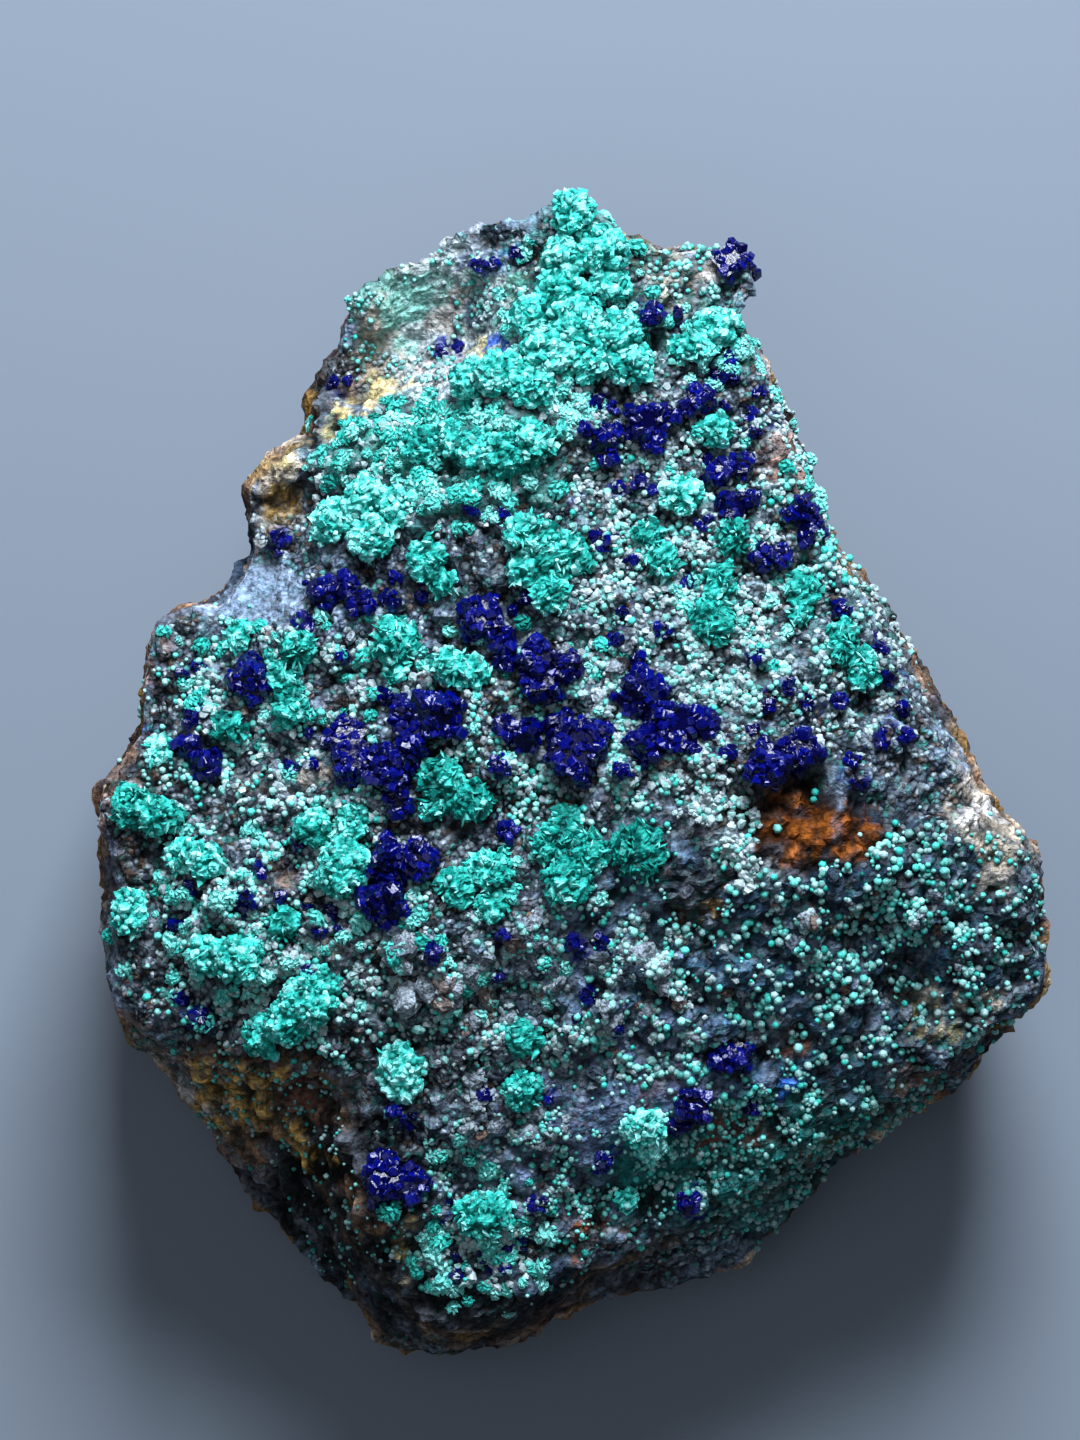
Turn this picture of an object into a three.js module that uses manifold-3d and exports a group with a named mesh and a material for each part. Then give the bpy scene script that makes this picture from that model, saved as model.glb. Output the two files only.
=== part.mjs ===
// A hand-sized specimen of azurite with malachite on iron-stained rock, lying on its flat back.
// Millimetres, +Z up. +X runs across the crystal face and +Y along it, to the peak at the top.
// Places on the face are [x, y] from its middle, and the finished group stands centred on its base.

import * as THREE from "three";
import { mergeVertices } from "three/addons/utils/BufferGeometryUtils.js";
import { ImprovedNoise } from "three/addons/math/ImprovedNoise.js";
import Module from "manifold-3d";

const wasm = await Module();
wasm.setup();

// Driving dimensions of the rock
const FACE_WIDTH = 84;
const FACE_LENGTH = 104;
const THICKNESS = 36;
const GRID_STEP = 3.4;
const GRID_JITTER = 1.6;
const JITTER_WAVELENGTH = 0.3;
const WALL_STEPS = 5;
const OUTLINE_SPREAD = 1.025;
const FOOT_INSET_SHARE = 0.1;
const FOOT_CURVE = 1.6;
const SPOT_BLUR = 2.5;

// Gap between neighbouring solids, and the length under which an edge is merged away
const GAP = 0.3;
const LIFT = 0.36;
const SHORTEST_EDGE = 0.25;
const WELD = 1e-4;

// How far a lump or crystal stands in and out of the rock, as shares of its radius
const LOBE_HEIGHT = 0.72;
const LOBE_RISE = 0.22;
const CRYSTAL_RISE = 0.3;
const KNOB_RISE = 0.25;
const LUMP_FLATNESS = 0.8;

// How rough a lobe is, the length of its waves on a lobe of radius 1, and from what radius it has more faces
const ROUGHNESS = 0.32;
const ROUGHNESS_WAVELENGTH = 0.5;
const LOBE_REACH = 1.12;
const DETAILED_LOBE = 2.6;

// A crystal block's size as shares of its radius, and the most that it leans, in radians
const CRYSTAL_TOP = 1.1;
const CRYSTAL_FOOT = 1.3;
const CRYSTAL_LENGTH = 1.8;
const CRYSTAL_LEAN = 0.55;

// The edge of the specimen as seen from above, clockwise from the peak
const OUTLINE = [
  [-0.4, 45.2], [1.8, 44.8], [3.2, 43.6], [5.6, 42.8], [8.6, 43.2], [11.8, 43.4],
  [14.4, 42.8], [14.6, 39.8], [13.4, 38.0], [13.9, 36.2], [15.0, 33.4], [17.0, 29.8],
  [18.1, 26.7], [19.3, 22.7], [21.9, 17.9], [24.9, 13.9], [27.1, 8.9], [30.1, 4.9],
  [32.8, -0.9], [35.3, -4.2], [37.5, -6.2], [37.7, -9.7], [37.8, -13.3], [38.2, -16.5],
  [36.9, -18.9], [33.4, -21.7], [31.9, -24.0], [28.4, -26.4], [24.7, -29.6], [21.2, -31.7],
  [18.2, -35.0], [14.5, -38.6], [11.6, -40.0], [7.0, -41.9], [2.1, -43.3], [-1.1, -44.5],
  [-4.3, -46.2], [-7.5, -47.6], [-11.5, -47.9], [-15.9, -46.4], [-20.6, -42.3], [-24.5, -37.2],
  [-28.9, -31.6], [-29.9, -29.1], [-32.1, -27.0], [-33.3, -24.6], [-34.9, -22.1], [-36.2, -19.3],
  [-37.3, -15.3], [-37.8, -11.7], [-37.1, -9.1], [-37.5, -5.7], [-37.7, -1.7], [-36.4, -0.1],
  [-34.7, 2.7], [-33.9, 7.1], [-33.3, 10.7], [-31.1, 13.5], [-28.7, 13.9], [-25.9, 16.5],
  [-25.2, 18.0], [-25.8, 21.1], [-26.2, 23.1], [-24.5, 25.4], [-21.4, 27.9], [-21.1, 30.5],
  [-19.5, 33.3], [-18.1, 36.9], [-17.4, 39.8], [-13.5, 41.4], [-10.9, 42.3], [-7.7, 43.7],
  [-4.4, 44.1], [-2.6, 44.4],
];

// How far the top edge stands in from the outline, and the height of the widest place below it, by direction
const SHOULDERS = [
  { degrees: -180, inset: 1.0, belly: 15 },
  { degrees: -160, inset: 1.0, belly: 13 },
  { degrees: -148, inset: 2.4, belly: 10 },
  { degrees: -140, inset: 6.5, belly: 8 },
  { degrees: -132, inset: 9.4, belly: 8 },
  { degrees: -123, inset: 9.8, belly: 8 },
  { degrees: -115, inset: 7.6, belly: 8 },
  { degrees: -108, inset: 5.4, belly: 8 },
  { degrees: -98, inset: 5.6, belly: 9 },
  { degrees: -90, inset: 5.6, belly: 9 },
  { degrees: -80, inset: 6.8, belly: 8 },
  { degrees: -69, inset: 6.6, belly: 8 },
  { degrees: -56, inset: 4.4, belly: 9 },
  { degrees: -43, inset: 3.6, belly: 10 },
  { degrees: -33, inset: 2.8, belly: 11 },
  { degrees: -22, inset: 1.6, belly: 13 },
  { degrees: 0, inset: 1.8, belly: 14 },
  { degrees: 30, inset: 1.8, belly: 15 },
  { degrees: 60, inset: 1.4, belly: 16 },
  { degrees: 90, inset: 0.9, belly: 16 },
  { degrees: 140, inset: 1.0, belly: 15 },
  { degrees: 180, inset: 1.0, belly: 15 },
];
const SHOULDER_HEIGHT = 24;

// Flat breaks round the sides: each faces out in its direction and leans under by its tilt,
// through a place that far from the middle at that height
const BREAKS = [
  { degrees: 40, tilt: 24, reach: 30.0, height: 8 },
  { degrees: 10, tilt: 18, reach: 32.5, height: 9 },
  { degrees: -20, tilt: 32, reach: 40.2, height: 9 },
  { degrees: -48, tilt: 22, reach: 38.0, height: 5 },
  { degrees: -78, tilt: 30, reach: 41.5, height: 6 },
  { degrees: -104, tilt: 22, reach: 48.0, height: 7 },
  { degrees: -130, tilt: 34, reach: 42.5, height: 6 },
  { degrees: -158, tilt: 24, reach: 38.5, height: 9 },
  { degrees: 175, tilt: 16, reach: 36.5, height: 9 },
  { degrees: 146, tilt: 28, reach: 33.0, height: 10 },
  { degrees: 118, tilt: 20, reach: 38.0, height: 9 },
  { degrees: 88, tilt: 32, reach: 43.4, height: 13 },
  { degrees: 62, tilt: 18, reach: 39.5, height: 10 },
];
const BREAK_BLOCK = 140;

// Heights of the crystal face above the base: [x, y, height]
const SPOT_HEIGHTS = [
  [-14, 39, 22.6], [-8, 41, 23.4], [-15, 33, 22.8], [-10, 37, 23.4], [-19, 30, 22.4],
  [-24, 23, 21.6], [0, 42, 27.6], [-1, 36, 29.6], [6, 39, 27.4], [12, 41, 25.0],
  [12, 35, 27.0], [-5, 30, 30.0], [-13, 26, 28.0], [-17, 21, 28.2], [-10, 22, 29.8],
  [0, 27, 30.2], [8, 28, 29.4], [15, 27, 27.2], [17, 22, 27.2], [-5, 16, 31.2],
  [3, 17, 30.6], [12, 16, 29.8], [20, 15, 27.4], [-27, 12, 24.4], [-31, 9, 24.6],
  [-22, 10, 27.2], [-15, 10, 29.6], [-20, 4, 28.8], [-30, 2, 26.2], [-8, 8, 31.6],
  [0, 8, 31.6], [8, 8, 31.4], [16, 8, 30.4], [24, 7, 27.8], [-14, 0, 31.2],
  [-6, 0, 32.6], [4, 0, 33.2], [12, 0, 33.0], [20, 0, 32.0], [28, 0, 28.8],
  [-34, -4, 25.6], [-26, -6, 29.0], [-18, -8, 31.2], [-10, -10, 33.0], [0, -9, 34.0],
  [10, -7, 34.4], [20, -7, 34.0], [28, -7, 32.2], [35, -8, 29.4], [-34, -13, 25.4],
  [-27, -14, 28.8], [-20, -20, 29.4], [-28, -20, 26.8], [-8, -18, 31.4], [2, -17, 31.2],
  [12, -16, 30.8], [22, -15, 29.8], [31, -14, 27.8], [37, -15, 24.4], [0, -25, 28.6],
  [10, -24, 27.6], [20, -22, 26.6], [28, -20, 25.6], [-10, -27, 29.0], [-15, -32, 27.4],
  [-8, -36, 26.2], [-4, -41, 23.6], [25, -26, 22.6], [14, -32, 23.0], [5, -36, 23.6],
  [-14, -41, 23.6], [-23, -28, 21.6], [-30, -24, 21.6],
];

// Ledges: the ground left of each line, walked from start to end, drops by this much
const LEDGES = [
  { start: [-22, 26.6], end: [-5.6, 36.4], drop: 2.6, reach: 9 },
  { start: [4.6, 40.4], end: [13.6, 37.6], drop: 1.6, reach: 5 },
  { start: [-30.4, 13.8], end: [-21, 15.4], drop: 2.0, reach: 5 },
  { start: [3.8, -0.8], end: [17.6, -1.6], drop: -1.1, reach: 5 },
];
const LEDGE_RAMP = 0.9;
const LEDGE_FADE_IN = 1;
const LEDGE_FADE_OUT = 2;

// Pits and hollows: [x, y, radius, depth]
const PITS = [
  [-21.3, 21.6, 2.3, 4.0], [2.4, -11.4, 2.8, 2.2], [-6.0, -17.4, 2.2, 2.0], [18.5, -5.6, 1.3, 1.8],
  [20.4, -5.6, 1.3, 1.8], [-15.4, -30.2, 2.2, 1.6], [-8.6, -30.4, 2.4, 1.8], [-24.6, 22.4, 1.6, 1.6],
  [5.6, -20.6, 2.2, 1.5], [24.0, -14.4, 2.6, 1.3], [-13.4, 35.6, 2.0, 1.2], [31.4, -9.6, 2.2, 1.2],
];

// Swells of the rock's surface, on its face and on its broken sides
const FACE_RELIEF = [
  { wavelength: 9, height: 1.5 },
  { wavelength: 4.2, height: 1.1 },
];
const WALL_RELIEF = [
  { wavelength: 12, height: 1.6 },
  { wavelength: 4.6, height: 1.5 },
];
const WALL_LAYERING = 1.6;
const BELLY_CALM_REACH = 4;
const BELLY_RELIEF = 0.25;

// Azurite crystal groups, with each crystal block as [x, y, radius]
const AZURITE = {
  centre_right: [[7.5, 3.8, 2.3], [5.1, 6.9, 1.7], [10.4, 4.0, 1.2], [5.7, 2.7, 1.6]],
  centre: [[0.2, 2.0, 2.2], [-1.1, 3.8, 1.4], [1.5, 3.4, 1.5]],
  centre_left: [
    [-10.8, 5.1, 1.8], [-13.2, 5.2, 1.4], [-12.7, 3.1, 1.4], [-14.4, 0.8, 1.9], [-17.6, 0.9, 1.7],
    [-13.9, -1.8, 1.1], [-18.4, 3.2, 1.5],
  ],
  upper_middle: [[-7.5, 12.7, 1.7], [-5.8, 11.0, 1.1], [-5.8, 9.3, 0.9]],
  middle: [[-2.9, 9.6, 1.5], [-2.6, 7.6, 1.6], [-0.6, 9.1, 1.2]],
  lower_left: [[-14.5, -6.5, 1.8], [-12.2, -6.5, 1.5], [-15.0, -9.6, 1.9]],
  bottom: [[-15.1, -32.4, 1.6], [-13.2, -32.5, 1.5], [-15.3, -30.9, 1.2]],
  right: [[18.0, 2.2, 1.6], [15.4, 1.1, 1.6]],
  centre_small: [[-3.9, 3.4, 1.1], [-5.2, 4.0, 0.9]],
  upper_right: [[18.0, 21.4, 1.3], [18.5, 19.8, 1.2]],
  left: [[-25.9, 7.9, 1.7]],
  far_left: [[-29.5, 1.2, 1.3], [-30.8, 2.5, 1.0]],
  upper_left: [[-20.0, 14.8, 1.3], [-18.3, 15.3, 1.1], [-17.0, 14.0, 1.1]],
  corner: [[12.6, 41.3, 1.6], [12.2, 40.2, 1.3]],
  lower_right: [[9.4, -26.2, 1.4], [8.3, -27.7, 0.8]],
  right_face: [[11.8, -22.5, 1.1], [13.2, -22.2, 1.1]],
  top_pair: [[5.5, 28.5, 1.4], [7.1, 28.8, 1.0], [6.4, 27.0, 1.1]],
  top_left: [[2.5, 27.0, 1.2], [2.7, 25.7, 1.0]],
  top_right: [[10.1, 30.5, 1.1], [9.3, 29.7, 0.9]],
  upper_edge: [[12.3, 21.9, 1.1], [13.8, 22.4, 1.0]],
  edge: [[15.2, 17.7, 0.9], [16.5, 17.7, 1.0]],
  upper_trio: [[11.8, 24.5, 1.1], [13.2, 25.2, 1.1]],
};

// Malachite tufts, rosettes and fans, with each lobe as [x, y, radius across X, radius across Y]
const MALACHITE = {
  crest: [
    [0.0, 45.2, 1.7, 2.3], [2.4, 42.2, 1.9, 2.1], [-0.6, 42.0, 1.9, 1.8], [2.6, 39.6, 1.9, 1.9],
    [-1.0, 39.0, 2.2, 2.0], [-3.0, 36.9, 2.2, 1.9], [0.3, 36.4, 2.2, 2.1], [3.4, 35.6, 2.2, 1.9],
    [4.2, 33.2, 2.1, 1.9], [1.3, 33.6, 2.1, 2.0], [-2.0, 34.2, 2.2, 2.1], [-3.5, 31.4, 2.2, 2.2],
    [-5.6, 32.2, 2.2, 1.9], [-7.8, 31.8, 2.2, 1.8],
  ],
  upper_right: [[9.4, 34.4, 2.1, 1.6], [11.6, 36.2, 2.1, 1.7]],
  upper_left: [
    [-19.0, 20.6, 1.9, 2.1], [-16.7, 22.2, 2.0, 2.0], [-14.0, 21.4, 2.1, 2.1], [-16.2, 19.4, 2.0, 1.8],
  ],
  upper_tufts: [
    [-12.0, 26.6, 2.1, 1.7], [-9.8, 27.0, 2.0, 1.9], [-7.6, 26.4, 2.0, 1.9], [-5.4, 25.9, 2.0, 1.9],
    [-3.4, 26.8, 1.8, 1.8],
  ],
  centre_rosette: [
    [-3.7, 19.3, 2.0, 1.8], [-1.1, 17.5, 2.5, 2.4], [-1.9, 14.6, 1.6, 1.7], [-3.9, 16.6, 1.5, 1.4],
  ],
  upper_left_rosette: [[-11.6, 17.6, 1.9, 2.1], [-10.1, 15.9, 1.6, 1.4]],
  edge_tuft: [[11.4, 27.9, 1.4, 1.5]],
  top_tuft: [[8.5, 22.8, 1.9, 1.6]],
  dark_wedge: [[12.6, 19.4, 1.5, 1.5]],
  middle_tuft: [[6.9, 17.6, 1.4, 1.8], [5.8, 19.6, 1.4, 1.2]],
  tall_plume: [[11.4, 15.6, 1.3, 2.0], [11.0, 12.6, 1.9, 2.1]],
  right_slope: [[18.1, 15.0, 1.9, 1.6], [17.7, 13.2, 1.4, 1.2]],
  right_edge: [[21.5, 10.9, 1.3, 1.8], [23.0, 8.7, 1.8, 1.9]],
  centre_left: [[-9.9, 9.1, 1.5, 1.4], [-8.2, 8.3, 1.5, 1.5]],
  left_of_centre: [[-14.3, 11.0, 1.8, 2.1], [-14.0, 8.6, 1.5, 1.2]],
  left_top: [[-26.7, 11.4, 1.6, 1.5]],
  left_pair: [[-22.2, 10.5, 1.5, 1.6], [-23.2, 8.2, 1.3, 1.4]],
  left_lower: [[-22.7, 5.6, 1.6, 1.4]],
  left_dark: [[-27.6, 4.2, 1.5, 1.3]],
  far_left: [[-33.2, 2.1, 1.4, 1.5]],
  fan: [[-35.6, -2.3, 1.8, 1.8], [-33.3, -2.8, 2.0, 1.7]],
  left_mint: [[-31.0, -6.2, 1.9, 1.7], [-29.3, -6.5, 1.9, 1.7]],
  left_edge: [[-35.8, -10.9, 1.6, 2.0]],
  crown: [[-10.6, 0.1, 1.8, 1.9], [-8.5, -1.6, 2.0, 1.8], [-11.0, -2.1, 1.6, 1.5]],
  left_trio: [[-18.5, -7.0, 2.2, 2.5], [-17.6, -3.4, 1.5, 1.7], [-20.6, -3.9, 2.0, 1.5]],
  triangle: [[-9.3, -8.4, 1.6, 1.6], [-6.7, -7.4, 2.0, 1.8], [-6.6, -10.0, 1.7, 1.6]],
  centre_plume: [
    [-0.4, -3.6, 1.7, 1.7], [-1.7, -5.2, 1.7, 1.6], [-0.2, -7.9, 2.2, 2.2], [1.2, -5.8, 1.5, 1.7],
  ],
  round: [[5.3, -5.7, 2.3, 2.3]],
  lower_left_pair: [[-26.8, -14.3, 2.0, 2.0], [-29.2, -14.2, 1.8, 1.7]],
  lower_left_dark: [[-23.0, -11.3, 1.6, 1.6]],
  lower_left_group: [
    [-19.5, -16.2, 1.7, 1.8], [-21.4, -17.8, 2.3, 2.1], [-22.8, -19.4, 2.1, 1.9], [-24.7, -20.6, 1.9, 1.7],
  ],
  dome: [[-13.4, -23.1, 2.1, 2.6]],
  upper_button: [[-4.0, -20.6, 1.8, 1.8]],
  lower_button: [[-4.3, -24.8, 1.8, 1.8]],
  lower_right: [[5.6, -27.6, 2.1, 1.9], [6.0, -29.2, 1.5, 1.7]],
  bottom: [[-7.2, -35.0, 2.3, 1.9]],
  bottom_right: [[4.1, -33.7, 1.4, 1.4]],
};

// Single azurite knobs grown into the rock: [x, y, radius]
const KNOBS = [
  [-7.3, 41.3, 0.9], [6.3, 37.1, 1.1], [1.0, 28.1, 0.9], [12.4, 32.2, 1.0], [14.4, 28.6, 0.9],
  [21.4, 13.9, 0.9], [25.0, 9.4, 0.9], [14.5, 9.8, 0.8], [17.0, 6.6, 1.0], [21.1, 6.1, 0.9],
  [25.6, 3.2, 1.1], [22.4, 0.6, 0.9], [2.6, 19.1, 0.9], [4.2, 10.4, 1.0], [-5.9, 1.1, 1.0],
  [3.8, 0.7, 1.0], [-23.9, 19.1, 1.0], [-16.4, 6.6, 0.8], [-26.2, -9.4, 1.1], [-20.6, -11.6, 0.8],
  [-30.4, -18.8, 1.1], [-11.0, -13.7, 1.0], [0.8, -13.0, 1.0], [2.2, -18.6, 0.9], [-14.4, -26.8, 0.9],
  [2.3, -30.8, 0.9], [-2.9, -34.2, 0.9], [9.3, -34.2, 1.1], [-30.6, 5.0, 0.9], [-14.7, 14.6, 1.0],
];

// Patches where crusty lumps cover the rock: middle, half sizes, and how many lumps of what radius
const LUMP_PATCHES = [
  { middle: [-20, -12], reach: [12, 9], count: 7, radius: 1.4 },
  { middle: [-4, -16], reach: [12, 5], count: 9, radius: 1.6 },
  { middle: [10, -18], reach: [8, 6], count: 6, radius: 1.7 },
  { middle: [26, -12], reach: [9, 6], count: 5, radius: 1.4 },
  { middle: [-8, -38], reach: [9, 4], count: 6, radius: 1.6 },
  { middle: [-14, 37], reach: [4, 4], count: 3, radius: 1.5 },
  { middle: [6.4, 41], reach: [3.4, 1.8], count: 4, radius: 1.3 },
];
const SMALLEST_LUMP = 0.7;
const LARGEST_LUMP = 1.3;
const SEED = 11;

const AZURITE_FINISH = new THREE.MeshStandardMaterial({ color: 0x141070, roughness: 0.25, metalness: 0 });
const MALACHITE_FINISH = new THREE.MeshStandardMaterial({ color: 0x4fb896, roughness: 0.6, metalness: 0 });
const ROCK_FINISH = new THREE.MeshStandardMaterial({ color: 0x4f4f58, roughness: 0.85, metalness: 0 });

const noise = new ImprovedNoise();
const { seededRandom: random, smoothstep, degToRad } = THREE.MathUtils;

// Swells of several wavelengths at a place, each up to its own height
function relief(swells, x, y, z) {
  let sum = 0;
  for (const { wavelength, height } of swells) {
    sum += height * noise.noise(x / wavelength, y / wavelength, z / wavelength);
  }
  return sum;
}

// The crystal face's height between the spot heights, nearer ones counting for more
function spotHeight(x, y) {
  let sum = 0;
  let weights = 0;
  for (const [spotX, spotY, height] of SPOT_HEIGHTS) {
    const near = (x - spotX) ** 2 + (y - spotY) ** 2 + SPOT_BLUR ** 2;
    const weight = 1 / near ** 2;
    sum += weight * height;
    weights += weight;
  }
  return sum / weights;
}

// How much lower a place is for lying on the low side of the ledges
function ledgeDrop(x, y) {
  let drop = 0;
  for (const ledge of LEDGES) {
    const along = new THREE.Vector2(ledge.end[0] - ledge.start[0], ledge.end[1] - ledge.start[1]);
    const length = along.length();
    along.divideScalar(length);
    const from = new THREE.Vector2(x - ledge.start[0], y - ledge.start[1]);
    const side = along.cross(from);
    const travelled = along.dot(from);
    const entered = smoothstep(travelled, -LEDGE_FADE_OUT, LEDGE_FADE_IN);
    const left = smoothstep(travelled, length - LEDGE_FADE_IN, length + LEDGE_FADE_OUT);
    const fade = 1 - smoothstep(side, ledge.reach / 2, ledge.reach);
    drop += ledge.drop * (entered - left) * fade * smoothstep(side, -LEDGE_RAMP, LEDGE_RAMP);
  }
  return drop;
}

function pitDepth(x, y) {
  let depth = 0;
  for (const [pitX, pitY, radius, deep] of PITS) {
    depth += deep * Math.exp(-((x - pitX) ** 2 + (y - pitY) ** 2) / radius ** 2);
  }
  return depth;
}

function faceHeight(x, y) {
  return spotHeight(x, y) - ledgeDrop(x, y) - pitDepth(x, y) + relief(FACE_RELIEF, x, y, 0);
}

// A three.js geometry as a closed solid with shared corners
function solidFrom(geometry) {
  const bare = geometry.clone();
  bare.deleteAttribute("normal");
  bare.deleteAttribute("uv");
  const merged = mergeVertices(bare, WELD);
  const mesh = new wasm.Mesh({
    numProp: 3,
    vertProperties: merged.attributes.position.array,
    triVerts: new Uint32Array(merged.index.array),
  });
  return new wasm.Manifold(mesh);
}

function geometryFrom(solid) {
  const mesh = solid.getMesh();
  const geometry = new THREE.BufferGeometry();
  geometry.setAttribute("position", new THREE.BufferAttribute(mesh.vertProperties, 3));
  geometry.setIndex(new THREE.BufferAttribute(mesh.triVerts, 1));
  const faceted = geometry.toNonIndexed();
  faceted.computeVertexNormals();
  return faceted;
}

function joined(solids) {
  return solids.reduce((whole, solid) => whole.add(solid));
}

function largestBody(solid) {
  return solid.decompose().reduce((best, body) => (body.volume() > best.volume() ? body : best));
}

function boxesMeet(one, other) {
  const [a, b] = [one.boundingBox(), other.boundingBox()];
  return a.min.every((low, axis) => low - GAP < b.max[axis] && b.min[axis] - GAP < a.max[axis]);
}

// A solid made larger by a gap on every side of its middle
function grown(solid, gap) {
  const { min, max } = solid.boundingBox();
  const middle = min.map((low, axis) => (low + max[axis]) / 2);
  const scale = min.map((low, axis) => (max[axis] - low + 2 * gap) / (max[axis] - low));
  return solid.translate(middle.map((value) => -value)).scale(scale).translate(middle);
}

// Where a corner of the face's grid stands once it is shifted off its line
function jittered(x, y) {
  const [u, v] = [x / JITTER_WAVELENGTH, y / JITTER_WAVELENGTH];
  return [x + GRID_JITTER * noise.noise(u, v, FACE_WIDTH), y + GRID_JITTER * noise.noise(v, u, FACE_LENGTH)];
}

// The block of ground whose top is the crystal face
function ground() {
  const across = Math.round(FACE_WIDTH / GRID_STEP);
  const along = Math.round(FACE_LENGTH / GRID_STEP);
  const block = new THREE.BoxGeometry(FACE_WIDTH, FACE_LENGTH, THICKNESS, across, along, 1);
  const place = block.attributes.position;
  for (let i = 0; i < place.count; i++) {
    const x = place.getX(i);
    const y = place.getY(i);
    if (place.getZ(i) < 0) {
      place.setZ(i, -1);
      continue;
    }
    const [movedX, movedY] = jittered(x, y);
    place.setXYZ(i, movedX, movedY, faceHeight(movedX, movedY));
  }
  return solidFrom(block);
}

// The shoulder's inset and the belly's height in one direction, between the listed directions
function shoulderAt(degrees) {
  const after = SHOULDERS.findIndex((row) => row.degrees >= degrees);
  const next = SHOULDERS[Math.max(after, 1)];
  const last = SHOULDERS[Math.max(after, 1) - 1];
  const share = (degrees - last.degrees) / (next.degrees - last.degrees);
  return {
    inset: THREE.MathUtils.lerp(last.inset, next.inset, share),
    belly: THREE.MathUtils.lerp(last.belly, next.belly, share),
  };
}

// The broken sides: the outline carried up and down, drawn in above and below its widest place
function sides() {
  const corners = OUTLINE.map(([x, y]) => new THREE.Vector2(x, y).multiplyScalar(OUTLINE_SPREAD));
  const shape = new THREE.Shape(corners.reverse());
  const extent = { depth: THICKNESS, steps: WALL_STEPS, bevelEnabled: false };
  const walls = new THREE.ExtrudeGeometry(shape, extent);
  const place = walls.attributes.position;
  for (let i = 0; i < place.count; i++) {
    const x = place.getX(i);
    const y = place.getY(i);
    const z = place.getZ(i);
    const radius = Math.hypot(x, y);
    const { inset, belly } = shoulderAt(THREE.MathUtils.radToDeg(Math.atan2(y, x)));
    const above = Math.max(0, z - belly) / (SHOULDER_HEIGHT - belly);
    const below = Math.max(0, belly - z) / belly;
    const drawn = inset * above + FOOT_INSET_SHARE * radius * below ** FOOT_CURVE;
    const calm = Math.min(1, Math.abs(z - belly) / BELLY_CALM_REACH + BELLY_RELIEF);
    const rough = z > 0 ? calm * relief(WALL_RELIEF, x, y, z * WALL_LAYERING) : 0;
    const scale = (radius - drawn + rough) / radius;
    place.setXY(i, x * scale, y * scale);
  }
  return solidFrom(walls);
}

// A large block whose inner face is one flat break
function breakBlock({ degrees, tilt, reach, height }) {
  const block = new THREE.BoxGeometry(BREAK_BLOCK, BREAK_BLOCK, BREAK_BLOCK);
  block.translate(BREAK_BLOCK / 2, 0, 0);
  block.rotateY(degToRad(tilt));
  block.translate(reach, 0, height);
  block.rotateZ(degToRad(degrees));
  return solidFrom(block);
}

// The rock before anything has grown on it
function bareRock() {
  return BREAKS.reduce((whole, flat) => whole.subtract(breakBlock(flat)), ground().intersect(sides()));
}

// A lumpy lobe, squashed on the rock and turned at random
function lobe(x, y, z, radiusX, radiusY, radiusZ) {
  const detail = Math.max(radiusX, radiusY) >= DETAILED_LOBE ? 1 : 0;
  const geometry = new THREE.IcosahedronGeometry(1, detail);
  geometry.rotateX(random() * Math.PI);
  geometry.rotateZ(random() * Math.PI);
  const place = geometry.attributes.position;
  const corner = new THREE.Vector3();
  for (let i = 0; i < place.count; i++) {
    corner.fromBufferAttribute(place, i);
    const wave = corner.clone().divideScalar(ROUGHNESS_WAVELENGTH);
    const swell = noise.noise(wave.x + x, wave.y + y, wave.z);
    corner.multiplyScalar(LOBE_REACH + ROUGHNESS * swell);
    place.setXYZ(i, corner.x, corner.y, corner.z);
  }
  geometry.scale(radiusX, radiusY, radiusZ);
  geometry.translate(x, y, z);
  return solidFrom(geometry);
}

// A blocky crystal: a four-sided tapered block with flat faces, tilted at random
function crystal(x, y, z, radius) {
  const sizes = [CRYSTAL_TOP, CRYSTAL_FOOT, CRYSTAL_LENGTH].map((share) => share * radius);
  const tablet = new THREE.CylinderGeometry(...sizes, 4, 1);
  const lean = () => CRYSTAL_LEAN * (2 * random() - 1);
  tablet.rotateX(Math.PI / 2 + lean());
  tablet.rotateY(lean());
  tablet.rotateZ(random() * Math.PI);
  tablet.translate(x, y, z);
  return solidFrom(tablet);
}

function malachiteSolid(lobes) {
  const solids = lobes.map(([x, y, radiusX, radiusY]) => {
    const radiusZ = LOBE_HEIGHT * Math.sqrt(radiusX * radiusY);
    return lobe(x, y, faceHeight(x, y) + LOBE_RISE * radiusZ, radiusX, radiusY, radiusZ);
  });
  return joined(solids);
}

function azuriteSolid(crystals) {
  const solids = crystals.map(([x, y, radius]) => {
    return crystal(x, y, faceHeight(x, y) + CRYSTAL_RISE * radius, radius);
  });
  return joined(solids);
}

function isUnderCluster(x, y, margin) {
  const footprints = [...Object.values(AZURITE), ...Object.values(MALACHITE)].flat();
  return footprints.some((spot) => Math.hypot(x - spot[0], y - spot[1]) < spot[2] + margin);
}

// Small crusty lumps scattered over their patches, clear of the larger growths
function crustLumps() {
  const lumps = [];
  for (const { middle, reach, count, radius } of LUMP_PATCHES) {
    for (let i = 0; i < count; i++) {
      const turn = random() * 2 * Math.PI;
      const out = Math.sqrt(random());
      const size = radius * THREE.MathUtils.lerp(SMALLEST_LUMP, LARGEST_LUMP, random());
      const x = middle[0] + reach[0] * out * Math.cos(turn);
      const y = middle[1] + reach[1] * out * Math.sin(turn);
      if (!isUnderCluster(x, y, size)) {
        lumps.push(lobe(x, y, faceHeight(x, y), size, size, size * LUMP_FLATNESS));
      }
    }
  }
  return lumps;
}

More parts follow.
